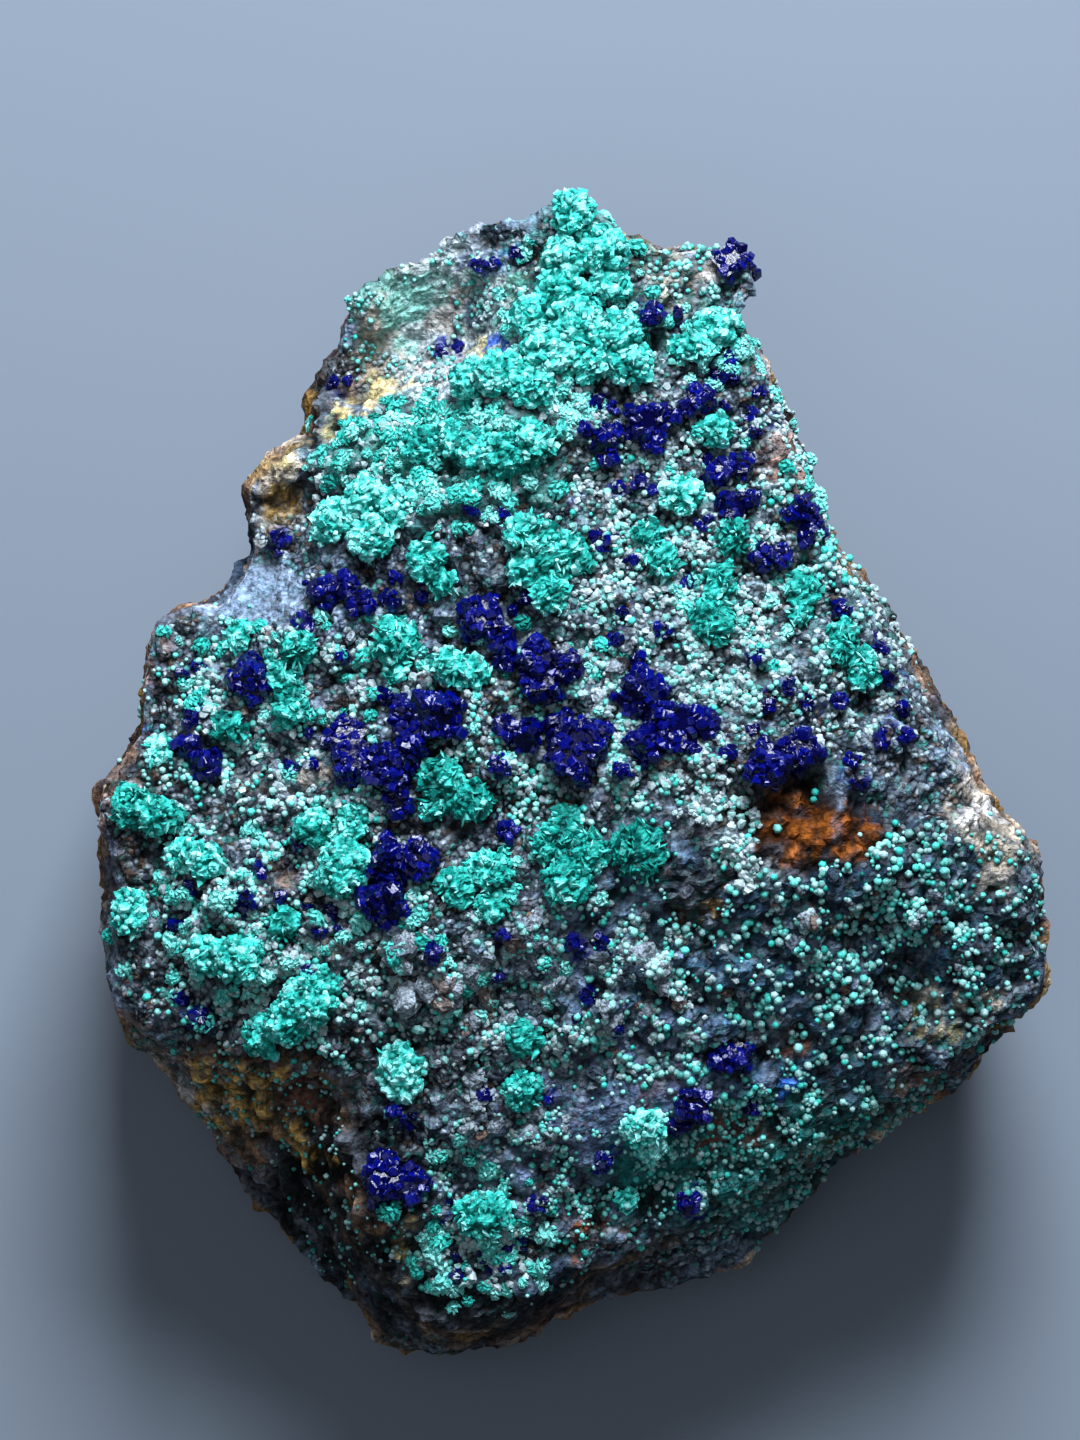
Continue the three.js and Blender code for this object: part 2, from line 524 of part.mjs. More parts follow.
function azuriteKnobs() {
  return KNOBS.map(([x, y, radius]) => crystal(x, y, faceHeight(x, y) + KNOB_RISE * radius, radius));
}

function rock(bare, fused) {
  return largestBody(joined([bare, ...fused]).simplify(SHORTEST_EDGE));
}

// The rock a little larger, which cuts each growth free of it by the gap
function rockWithGap(bare) {
  const wider = 1 + GAP / (FACE_WIDTH / 2);
  return bare.scale([wider, wider, 1]).translate([0, 0, LIFT]);
}

function withoutNeighbours(solid, neighbours) {
  let free = solid;
  for (const neighbour of neighbours) {
    if (boxesMeet(free, neighbour)) {
      free = free.subtract(grown(neighbour, GAP));
    }
  }
  return free;
}

function growths(bare, fused) {
  const cutter = rockWithGap(bare);
  const made = new Map();
  for (const [place, crystals] of Object.entries(AZURITE)) {
    made.set(`azurite_${place}`, azuriteSolid(crystals));
  }
  for (const [place, lobes] of Object.entries(MALACHITE)) {
    made.set(`malachite_${place}`, malachiteSolid(lobes));
  }
  const seated = new Map();
  for (const [name, solid] of made) {
    const free = withoutNeighbours(solid.subtract(cutter), [...fused, ...seated.values()]);
    seated.set(name, largestBody(free.simplify(SHORTEST_EDGE)));
  }
  return seated;
}

function addPiece(group, name, solid, finish) {
  const mesh = new THREE.Mesh(geometryFrom(solid), finish);
  mesh.name = name;
  group.add(mesh);
}

function specimen() {
  random(SEED);
  const pieces = new THREE.Group();
  const bare = bareRock();
  const fused = [...crustLumps(), ...azuriteKnobs()];
  addPiece(pieces, "rock_matrix", rock(bare, fused), ROCK_FINISH);
  for (const [name, solid] of growths(bare, fused)) {
    addPiece(pieces, name, solid, name.startsWith("azurite") ? AZURITE_FINISH : MALACHITE_FINISH);
  }
  const box = new THREE.Box3().setFromObject(pieces);
  const middle = box.getCenter(new THREE.Vector3());
  pieces.position.set(-middle.x, -middle.y, -box.min.z);
  const standing = new THREE.Group();
  standing.add(pieces);
  return standing;
}

export default specimen();
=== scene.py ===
# A hand-sized specimen of azurite and malachite on iron-stained rock, lying on its back and seen from above.
# Lengths are millimetres, and places on the crystal face are millimetres from the face's middle, as in the
# part's source.

import math

import bmesh
import bpy
import numpy as np
from mathutils import Matrix, Vector, noise
from mathutils.bvhtree import BVHTree


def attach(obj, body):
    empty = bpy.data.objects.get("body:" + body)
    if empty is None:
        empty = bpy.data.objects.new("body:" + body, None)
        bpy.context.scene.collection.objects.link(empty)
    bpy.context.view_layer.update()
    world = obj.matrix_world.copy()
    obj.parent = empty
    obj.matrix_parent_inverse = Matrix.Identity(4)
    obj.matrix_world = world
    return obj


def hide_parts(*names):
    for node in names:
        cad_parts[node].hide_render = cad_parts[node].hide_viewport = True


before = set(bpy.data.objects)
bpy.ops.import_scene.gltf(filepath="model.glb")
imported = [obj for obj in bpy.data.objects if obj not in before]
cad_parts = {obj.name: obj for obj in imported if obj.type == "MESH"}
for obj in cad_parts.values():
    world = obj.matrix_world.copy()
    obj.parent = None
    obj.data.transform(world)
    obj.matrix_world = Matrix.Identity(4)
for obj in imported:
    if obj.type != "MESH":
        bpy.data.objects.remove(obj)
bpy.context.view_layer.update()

# A millimetre in the frame's metres, the face's middle in the frame, and the seed of all that is strewn
MM = 0.001
FACE_MIDDLE = (0.204, 0.204)
SEED = 20
UP = Vector((0, 0, 1))
DOWN = Vector((0, 0, -1))

# How finely the surfaces are built, and how near two corners of a CAD node are to be one
ROCK_VOXEL = 0.48
MALACHITE_VOXEL = 0.2
WELD = 0.001

# Rough noise by name: how wide it is, its octaves, and its shift, so that no two agree
SWELLS = {
    "broad tone": (7, 3, 0),
    "spots": (1.9, 2, 60),
    "specks": (0.8, 2, 80),
    "pit_shade": (0.6, 1, 120),
    "side layers": (2.6, 3, 0),
    "side blotches": (6, 3, 40),
    "rock grit": (0.8, 3, 0),
    "rock breaks": (1.6, 3, 0),
    "crust drifts": (1.5, 2, 20),
    "growth drifts": (2.2, 2, 0),
    "malachite drifts": (1.9, 2, 0),
    "malachite roughness": (0.7, 3, 0),
}
OCTAVE_FALL = 0.9
OCTAVE_STEP = 2.1

# Where a lump of the cell pattern ends, in its own size, and how sharp the ridges of the crease pattern are
CELL_EDGE = 0.75
CREASE_SHARPNESS = 3.2
CREASE_LEVEL = 0.4

# The rock's relief: knobs on its face, each with its size, shift, height and level value, then grit all over
# and layered breaks on its sides
KNOBS = [(2.1, 0, 0.9, 0.6), (1.1, 30, 0.5, 0.5)]
GRIT_HEIGHT = 0.24
GRIT_CREASE_SIZE = 0.6
GRIT_CREASE_HEIGHT = 0.12
BREAK_HEIGHT = 0.8
BREAK_CREASE_SIZE = 3.4
BREAK_CREASE_HEIGHT = 0.5
BREAK_STRETCH = (0.28, 0.28, 1.0)
BREAK_SLOPE = (0.5, 0.1)

# How the edges of patches wander: the width of the noise that shifts them, and its reach
BROAD_WARP = (3.0, 2.4)
FINE_WARP = (0.9, 0.9)
CRUST_WARP = (2.2, 2.0)

# Where patches fade, from no effect to the full one, with their middle at 0 and their rim at 1
PATCH_EDGE = (1.12, 0.72)
PATCH_RAGGEDNESS = 0.3
STAIN_EDGE = (1.15, 0.8)
PLAIN_EDGE = (1.15, 0.8)
BARE_EDGE = (1.1, 0.75)
CLEAR_EDGE = (0.8, 1.1)
GROWTH_EDGE = (1.1, 0.6)

# The plain plates: how upright their ground may be, and how much of the mottling and the painted shade they
# lose
PLAIN_SLOPE = (0.0, 0.3)
PLAIN_WEAR = 0.75
PLAIN_LIGHT = 0.6

# The rock's ground tone, and its spots: colour, strength, and the noise where they set in and are full
GROUND_TONE = (-0.3, 0.4)
ROCK_SPOTS = [("grey_brown", 0.6, 0.2, 0.4), ("black_brown", 0.7, -0.2, -0.45)]

# The rock's dark and bright grit and its painted shade of small pits: noise, factor and lift of the tint,
# strength, where it sets in and is full, and how much of it the plain plates lose
ROCK_GRIT = [
    ("specks", 0.4, 0, 0.75, 0.15, 0.45, PLAIN_WEAR),
    ("specks", 1.7, 0.02, 0.6, -0.15, -0.5, 0),
    # Painted shade of small pits
    ("pit_shade", 0.25, 0, 0.85, 0.28, 0.5, PLAIN_WEAR),
]

# Painted shade in the hollows and painted light on the knobs: the shade at the bottom, what the top adds, and
# the heights of both
PAINTED_SHADE_LEAST = 0.14
PAINTED_SHADE_RANGE = 1.2
PAINTED_SHADE_HEIGHTS = (-0.65, 0.45)

# The broken sides: the slope and the height where they set in and are full, how their layers lie, and their
# colours over dark brown, each with its noise, strength, and where it sets in and is full
SIDE_SLOPE = (0.42, 0.12)
SIDE_HEIGHT = (25, 19)
LAYER_STRETCH = (0.35, 0.35, 1.0)
LAYER_TILT = 0.12
SIDE_COLOURS = [
    ("side layers", "brown", 1.0, -0.3, 0.35),
    ("side layers", "tan", 0.8, 0.25, 0.55),
    ("side blotches", "ochre", 0.7, 0.12, 0.4),
    ("side blotches", "dark_slate", 0.8, -0.12, -0.4),
]

# The crust of fine grains on the rock: grain, cover, the slope and height where it sets in and is full, its
# thin and thick drifts, and its painted shade in the gaps between grains, from where it starts and is full to
# its depth
CRUST_GRAIN = 0.46
CRUST_COVER = 0.72
CRUST_SLOPE = (0.05, 0.4)
CRUST_HEIGHT = (5, 12)
CRUST_THIN = 0.4
CRUST_DRIFTS = (-0.35, 0.15)
CRUST_GAP_SHADE = (0.35, 0.7)
CRUST_GAP_SHADE_DEPTH = 0.92
CRUST_GAP_SHADE_COLOUR = (0.008, 0.01, 0.012, 1)

# The kinds of grain in the crust: where each starts in a draw from 0 to 1, and its colour
CRUST_KINDS = [
    (0.0, (22, 32, 44)),
    (0.26, (84, 94, 110)),
    (0.44, (76, 156, 148)),
    (0.6, (138, 154, 162)),
    (0.78, (190, 210, 216)),
    (0.9, (104, 84, 70)),
]

# The malachite's own surface: the size of each pattern, then each one's height, level value and share
# in the tone, as painted light on the raised parts and painted shade in the creases
LUMP_SIZE = 0.95
PLEAT_SIZE = 0.42
PLEAT_SHIFT = 9
FOLD_SIZE = 0.55
SKIN_PATTERNS = {
    "lumps": (0.5, 0.45, 0.5),
    "pleats": (0.14, 0.4, 0.2),
    "folds": (0.2, 0.4, 0.35),
    "roughness": (0.1, 0, 0.25),
}
SKIN_TONE = -0.05

# The petals, chips and knobs on the malachite: how many on a square millimetre, how steep the ground may be,
# how deep the point lies that they lean away from, how they lean, and their stretch
BITS_PER_AREA = 4.2
MALACHITE_SLOPE = -0.2
LEAN_DEPTH = 1.0
LEAN_OUT = 0.6
LEAN_CHANCE = 0.35
BIT_STRETCH = (0.75, 1.25)

# The malachite's colours over its deep green, and how pale the surface is where each sets in and is full
MALACHITE_STEPS = [
    ("malachite_middle", 0.0, 0.35),
    ("malachite_bright", 0.35, 0.7),
    ("malachite_pale", 0.65, 1.0),
]

# How a growth's tone makes it paler: its scale at tone 0, what the tone adds to it, and its lift from the
# middle tone
TONE_SCALE = 0.55
TONE_GAIN = 0.6
TONE_LIFT = 0.35
TONE_MIDDLE = 0.45

# How pale a bit is at its root and at its tip, with painted shade at the root and a paler tip that is partly
# the crystal's own and partly painted light, and how its growth's tone varies
BIT_ROOT = (0.0, 0.3)
BIT_TIP = (0.4, 1.1)
TONE_DRIFT = 0.38
TONE_CHANCE = 0.12

# How much of a malachite growth is petals, chips and knobs: leafy as a rule, with granular crusts and
# knobbly lumps
LEAFY = (0.62, 0.22, 0.16)
GRANULAR = (0.15, 0.55, 0.3)
KNOBBLY = (0.12, 0.2, 0.68)
BIT_SHARES = {
    "crest": GRANULAR, "upper_right": GRANULAR, "upper_left": GRANULAR, "upper_tufts": GRANULAR,
    "top_tuft": GRANULAR, "far_left": GRANULAR, "left_mint": GRANULAR, "left_trio": GRANULAR,
    "dome": KNOBBLY, "upper_button": KNOBBLY, "lower_button": KNOBBLY, "lower_left_pair": KNOBBLY,
    "lower_left_group": KNOBBLY, "lower_right": KNOBBLY, "left_edge": KNOBBLY, "bottom_right": KNOBBLY,
}

# The azurite clusters: how much of the node their core is, and the blocks on it
CORE_SHARE = 0.92
BLOCKS_PER_AREA = 3.2
AZURITE_SLOPE = -0.4
BLOCK_RADIUS = (0.22, 0.46)
BLOCK_SINK = 0.55
BLOCK_STRETCH = (0.75, 1.15)

# The single azurites: how many crystals at least and more by area, how wide and high they heap, their radius,
# and how it follows the azurite's own
HEAP_LEAST = 5
HEAP_PER_AREA = 13
HEAP_REACH = 0.85
HEAP_HEIGHT = 0.5
HEAP_CRYSTAL = (0.2, 0.36)
HEAP_SCALE = (0.6, 0.5)
ABOVE_ALL = 60

# The small growths: how steep and how low their ground may be, how readily they settle off their drifts and
# on clear stone, how rare the large ones are, and how their tone varies
GROWTH_SLOPE = -0.15
GROWTH_LOWEST = 8
GROWTH_DRIFTS = (-0.15, 0.4)
GROWTH_SPARSE = 0.07
GROWTH_ON_CLEAR = 0.04
SMALL_ONES = 1.6
GROWTH_TONE_CHANCE = 0.16
COVER_GAP = 0.05

# Each small growth's least and greatest stretch, how far it stands out of the rock in radii, and its flatness
GROWTH_FORMS = {
    "bead": (0.88, 1.12, 0.55, 1),
    "grain": (0.7, 1.3, 0.3, 1),
    "tuft": (0.8, 1.2, 0.2, 0.8),
    "lump": (0.7, 1.3, -0.15, 0.75),
}

# Each small growth's piece: its name, whether it is rounded, its finish and its slot
GROWTH_PIECES = {
    "bead": ("malachite_beads", True, "malachite", "malachite"),
    "grain": ("pale_grains", False, "pale grains", "rock"),
    "tuft": ("malachite_tufts", False, "malachite", "malachite"),
    "lump": ("stone_knots", False, "stone knots", "rock"),
}

# Beads: how much they turn upwards, how pale they are at root and tip, with painted shade at the root and
# painted light on the top, and how chalky, whiter on the top as real chalk and a painted highlight
BEAD_UPWARD = 0.6
BEAD_ROOT = (0.15, 0.55)
BEAD_TIP = (0.4, 0.9)
BEAD_CHALK_ROOT = 0.4
BEAD_CHALK_AND_HIGHLIGHT_TIP = 0.8
BEAD_CHALK_FALL = 1.4

# Grains: how their tone varies, how many are minty, how minty the others are, and how dark their feet are, as
# painted shade
GRAIN_CHANCE = 0.1
MINTY_GRAINS = 0.4
FAINT_MINT = 0.12
GRAIN_FOOT_SHADE = 0.9

# Tufts: how much they turn upwards, and how pale they are at root and tip, as painted shade low down and
# painted light on top
TUFT_UPWARD = 0.4
TUFT_ROOT = 0.2
TUFT_TIP = 0.85

# Lumps of bare stone: how their tone varies, how many are brown and how brown, how they lean, and how dark
# their feet are, as painted shade
LUMP_CHANCE = 0.25
BROWN_LUMPS = 0.14
LUMP_BROWN = 0.6
LUMP_LEAN = 0.4
LUMP_FOOT_SHADE = 0.35

# The small shapes, in radii: a tuft's blades and how much of a ball they cover, the petal's slant and form,
# the azurite block's lean and worn edges, and the roughness of stone
BLADES_PER_TUFT = 14
TUFT_COVER = 1.15
BLADE_THICKNESS = 0.45
BLADE_REACH = (0.55, 0.75)
GOLDEN_ANGLE = math.pi * (3 - math.sqrt(5))
PETAL_SLANT = 0.35
PETAL_FORM = (0.8, 0.2, 0.9)
BLOCK_LEANS = (0.0, 0.3)
BLOCK_WEAR = 0.22
STONE_ROUGHNESS = 0.5
STONE_SWELLS = [(2.3, Vector((0, 0, 0))), (4.1, Vector((7, 0, 0)))]

# Finishes: roughness, gloss, width and contrast of the mottling, strength and width of the fine bump
FINISHES = {
    "rock": (0.85, 0.1, 0.4, 0.7, 1.0, 0.3),
    "malachite": (0.42, 0.24, 0.22, 0.4, 0.7, 0.12),
    "azurite": (0.18, 0.35, 0.5, 0.3, 0.3, 0.3),
    "pale grains": (0.4, 0.35, 0.25, 0.3, 0.5, 0.12),
    "stone knots": (0.85, 0.1, 0.25, 0.85, 1.0, 0.3),
}
MOTTLE_RANGE = (0.3, 0.7)
MOTTLE_DETAIL = 4
BUMP_DETAIL = 5

# The camera looks straight down, at the photograph's distance of view
CAMERA_CENTRE = (-2.52, 4.92)
FRAME_HEIGHT = 115.2
FRAME_DEPTH = 29
CAMERA_DISTANCE = 600
CAMERA_NEAREST = 10
SENSOR_HEIGHT = 36

# The square lights: name, place, size and power, and the place that they shine on
LIGHTS = [("window", (50, 420, 330), 220, 7.6), ("ceiling", (-120, -40, 500), 400, 0.5)]
LIGHT_AIM = (0, 0, 20)
DAYLIGHT = (0.9, 0.98, 1.08)
ROOM_COLOUR = (0.75, 0.85, 1.0, 1)
ROOM_LIGHT = 0.1

# The floor
FLOOR_REACH = 2000
FLOOR_COLOUR = (0.17, 0.2, 0.24, 1)
FLOOR_ROUGHNESS = 0.8
FLOOR_GLOSS = 0.2

# Colours of the minerals, as they look in daylight, red, green and blue from 0 to 255
COLOURS = {
    "malachite_deep": (0, 74, 70),
    "malachite_middle": (6, 136, 124),
    "malachite_bright": (58, 200, 186),
    "malachite_pale": (158, 238, 232),
    "azurite_deep": (0, 0, 44),
    "azurite_blue": (0, 6, 104),
    "grain_grey": (92, 92, 98),
    "grain_white": (178, 190, 194),
    "grain_mint": (84, 164, 154),
    "lump_dark": (42, 56, 70),
    "lump_pale": (158, 170, 180),
    "grey_lilac": (134, 154, 180),
    "grey_brown": (88, 92, 102),
    "tan": (184, 168, 148),
    "teal_grey": (196, 206, 204),
    "mint_stain": (104, 178, 164),
    "slate": (56, 88, 114),
    "purple_slate": (92, 108, 142),
    "dark_slate": (22, 44, 64),
    "black_brown": (12, 11, 12),
    "dark_brown": (50, 38, 32),
    "brown": (128, 96, 74),
    "warm_brown": (104, 80, 58),
    "moss_teal": (10, 116, 100),
    "orange": (124, 66, 18),
    "mustard": (206, 164, 88),
    "ochre": (130, 98, 46),
    "yellow": (214, 190, 130),
    "red_brown": (112, 72, 62),
    "pink_brown": (160, 122, 108),
    "calcite": (214, 206, 200),
    "white_crust": (140, 160, 168),
    "pale_crust": (92, 114, 124),
    "teal_stain": (48, 140, 118),
    "deep_teal": (20, 108, 104),
    "powder_blue": (36, 96, 214),
    "azurite_stain": (16, 14, 110),
}

# The rock's colour on its face, from broad to small, with painted shade in a few hollows, under a ledge and
# on the bottom side: x, y, half width, half height, colour, strength
ROCK_PATCHES = [
    (-22, -12, 16, 14, "grey_brown", 0.8),
    (-10.7, 37.4, 8, 7, "teal_grey", 0.9),
    (2, 3.5, 16, 10, "grey_brown", 0.7),
    (6, 16, 14, 14, "pale_crust", 0.9),
    (18, 10, 9, 11, "pale_crust", 0.9),
    (5.3, 27, 7, 6, "white_crust", 0.9),
    (14.9, 23.9, 5, 7, "white_crust", 0.8),
    (9, 13, 8, 8, "white_crust", 0.7),
    (0.9, 38, 7, 9, "teal_stain", 0.8),
    (10, 35.5, 6, 3.5, "teal_stain", 0.7),
    (-11.1, 25.5, 11.5, 5.6, "moss_teal", 0.8),
    (0, 35, 6, 6, "moss_teal", 0.6),
    (-25.9, 15.1, 4.5, 3, "grey_lilac", 0.9),
    (-22, 8, 9, 6, "grey_lilac", 0.6),
    (18, -15, 22, 13.5, "slate", 1.0),
    (28, -10, 12, 11, "dark_slate", 0.8),
    (5, -28, 12, 10, "purple_slate", 0.95),
    (18, -31.5, 17, 6.5, "deep_teal", 0.95),
    (-3, -13, 12, 5, "grey_lilac", 0.6),
    (-25.5, -26.5, 9, 6.5, "warm_brown", 1.0),
    # Painted shadow: the shaded hollow low on the left, in black brown
    (-18, -34, 7, 9, "black_brown", 1.0),
    (-5, -39.5, 8, 4, "dark_slate", 0.9),
    # Dark brown rock and painted shade on the bottom side
    (-7.5, -44.5, 12, 4, "black_brown", 0.9),
    (-27.5, -27.6, 5.2, 2.9, "mustard", 0.75),
    (-24.5, -25, 2.2, 1.0, "mustard", 0.9),
    (-22, -30, 2.8, 1.3, "mustard", 0.9),
    (-29.5, -24.4, 2.4, 0.9, "mustard", 0.9),
    (-24.3, -27.4, 1.7, 1.1, "black_brown", 0.8),
    (-28.6, -29.2, 1.4, 0.8, "black_brown", 0.7),
    (-30.5, -22.5, 3.0, 1.2, "brown", 0.9),
    (-22.2, -26.1, 2.2, 1.3, "red_brown", 0.8),
    (-26.5, -29.5, 2.8, 1.4, "brown", 0.9),
    (-19.5, -26.5, 2.4, 1.2, "brown", 0.8),
    (-17.5, -35, 1.4, 2.4, "brown", 0.8),
    (15.5, -2.6, 7.5, 4.4, "dark_brown", 1.0),
    (19, -5.2, 6.5, 3.4, "dark_brown", 0.9),
    (19.0, -4.1, 5.0, 2.8, "orange", 1.0),
    (22.4, -5.4, 1.6, 1.0, "orange", 0.9),
    (16.4, -4.6, 1.1, 1.3, "orange", 0.8),
    (19.6, -1.8, 1.6, 0.9, "black_brown", 0.9),
    (18.5, -5.6, 0.8, 0.9, "black_brown", 1.0),
    (20.2, -5.6, 0.8, 0.9, "black_brown", 1.0),
    # Painted shade in the dark brown recess below the white grains
    (9.8, -8.8, 3.0, 3.4, "black_brown", 0.85),
    (11.6, -10.6, 1.5, 1.0, "ochre", 0.8),
    (9.0, -10.4, 0.9, 0.8, "brown", 0.8),
    (13.0, -5.2, 2.4, 3, "white_crust", 0.8),
    (-7.3, 34.9, 1.7, 1.2, "yellow", 0.8),
    (-24.3, 22.7, 2.4, 3.6, "tan", 0.9),
    (-24.0, 22.4, 1.8, 1.4, "mustard", 0.9),
    (-16.4, 35.1, 2.8, 3.8, "tan", 0.9),
    (-16.9, 33.4, 1.4, 1.4, "brown", 0.6),
    (-11.8, 33.6, 2.4, 1.2, "pink_brown", 0.6),
    (-10.0, 37.9, 1.9, 1.7, "brown", 0.6),
    (-14.4, 39.2, 3.4, 1.9, "mint_stain", 0.8),
    (-15.2, 36.6, 1.4, 1.4, "mint_stain", 0.8),
    (-13.0, 34.8, 0.8, 1.0, "mint_stain", 0.7),
    (-10.6, 40.6, 1.6, 0.9, "mint_stain", 0.7),
    (-10.4, 34.6, 2.6, 1.5, "grey_brown", 0.6),
    (-7.2, 37.4, 1.4, 1.2, "slate", 0.8),
    (-6.2, 41.9, 2.4, 1.8, "grey_lilac", 0.9),
    (-15.4, 31.7, 2.6, 0.65, "yellow", 0.95),
    (-18.3, 30.2, 1.7, 0.6, "yellow", 0.95),
    (-20.4, 28.4, 1.3, 0.8, "yellow", 0.95),
    (-22.4, 26.6, 1.2, 0.7, "yellow", 0.95),
    (-24.4, 24.4, 2.2, 1.8, "tan", 0.9),
    (-24.7, 25.2, 1.2, 0.7, "yellow", 0.8),
    (-23.6, 23.0, 1.0, 0.8, "mustard", 0.8),
    (-18.4, 31.6, 0.5, 0.4, "powder_blue", 0.8),
    (-19.1, 6.2, 2.2, 0.9, "brown", 0.9),
    (-20.7, 0.4, 2.0, 1.0, "tan", 0.9),
    (-25, 0.4, 1.8, 1.0, "tan", 0.8),
    (-23.3, -7.5, 1.8, 1.2, "brown", 0.9),
    (-5.3, 6.6, 1.8, 0.9, "brown", 0.8),
    (-18.9, -13.4, 1.8, 1.2, "tan", 0.8),
    (-8.6, -15.4, 1.8, 1.2, "tan", 0.7),
    (-33, -9.5, 2.6, 1.6, "dark_slate", 0.9),
    (-34.5, -4, 1.8, 2.4, "dark_slate", 0.8),
    (27.3, -23.8, 3.2, 1.3, "brown", 0.9),
    (27.8, -18, 1.6, 1.0, "tan", 0.8),
    (20.2, -11.8, 1.0, 0.7, "tan", 0.9),
    (23.1, -11.4, 1.0, 0.8, "tan", 0.9),
    (29.5, -9.1, 1.7, 1.1, "grey_lilac", 0.8),
    (23.8, -17.6, 2.2, 1.3, "grey_lilac", 0.8),
    (19.3, -15.2, 1.2, 0.9, "grey_lilac", 0.8),
    (9.7, 40.9, 4.6, 2.8, "tan", 0.7),
    (-36, -2, 2.0, 8, "brown", 0.8),
    (12.6, -28.8, 3.0, 1.7, "red_brown", 0.95),
    (6.5, -24.6, 2.6, 1.2, "red_brown", 0.5),
    (17.6, -21.4, 2.2, 1.2, "red_brown", 1.0),
    (15.8, -21.3, 1.3, 1.0, "grey_lilac", 0.8),
    (29.4, -19.9, 1.8, 1.0, "yellow", 1.0),
    (32.8, -18.1, 1.9, 1.2, "tan", 0.9),
    (1.9, -36.3, 2.0, 1.5, "orange", 0.9),
    (-13.9, -38.1, 1.0, 2.7, "yellow", 0.9),
    (-33.6, 7.8, 1.0, 2.8, "pink_brown", 0.9),
    (17.7, 25.7, 2.0, 3.6, "pink_brown", 0.9),
    (22.1, 17.7, 1.4, 1.5, "tan", 0.9),
    (33.7, -1.7, 3.0, 8.0, "tan", 0.8),
    (33.1, -2.6, 1.1, 1.1, "calcite", 1.0),
    (-32.2, -25.5, 1.7, 2.1, "calcite", 1.0),
    (-34.7, -19.4, 2.0, 1.0, "pink_brown", 0.9),
    (-21.1, 21.1, 1.2, 3.2, "black_brown", 0.9),
    # Painted shadow under the ledge of the large rosettes
    (2.1, -11.3, 3.2, 1.6, "dark_slate", 0.8),
    (-5.9, -17.5, 1.8, 1.2, "dark_slate", 0.8),
    (-5.8, 34.7, 0.8, 0.8, "powder_blue", 0.9),
    (-7.9, 33.4, 0.7, 0.7, "powder_blue", 0.9),
    (-33.8, 4.2, 0.9, 1.1, "powder_blue", 0.9),
    (16.9, -25.5, 0.9, 0.8, "powder_blue", 0.8),
    (-1.1, 23.1, 0.7, 0.7, "powder_blue", 0.8),
]

# How pale each malachite growth is, from 0 for deep green to 1 for the palest mint
MALACHITE_TONES = {
    "crest": 0.7, "upper_right": 0.8, "upper_left": 0.85, "upper_tufts": 0.55, "centre_rosette": 0.6,
    "upper_left_rosette": 0.55, "edge_tuft": 0.65, "top_tuft": 0.85, "dark_wedge": 0.15, "middle_tuft": 0.45,
    "tall_plume": 0.35, "right_slope": 0.45, "right_edge": 0.5, "centre_left": 0.65, "left_of_centre": 0.55,
    "left_top": 0.7, "left_pair": 0.45, "left_lower": 0.45, "left_dark": 0.2, "far_left": 1.0,
    "fan": 0.35, "left_mint": 0.8, "left_edge": 0.65, "crown": 0.42, "left_trio": 0.64,
    "triangle": 0.52, "centre_plume": 0.42, "round": 0.13, "lower_left_pair": 0.72, "lower_left_dark": 0.3,
    "lower_left_group": 0.6, "dome": 0.9, "upper_button": 0.35, "lower_button": 0.5, "lower_right": 1.0,
    "bottom": 0.5, "bottom_right": 0.6,
}

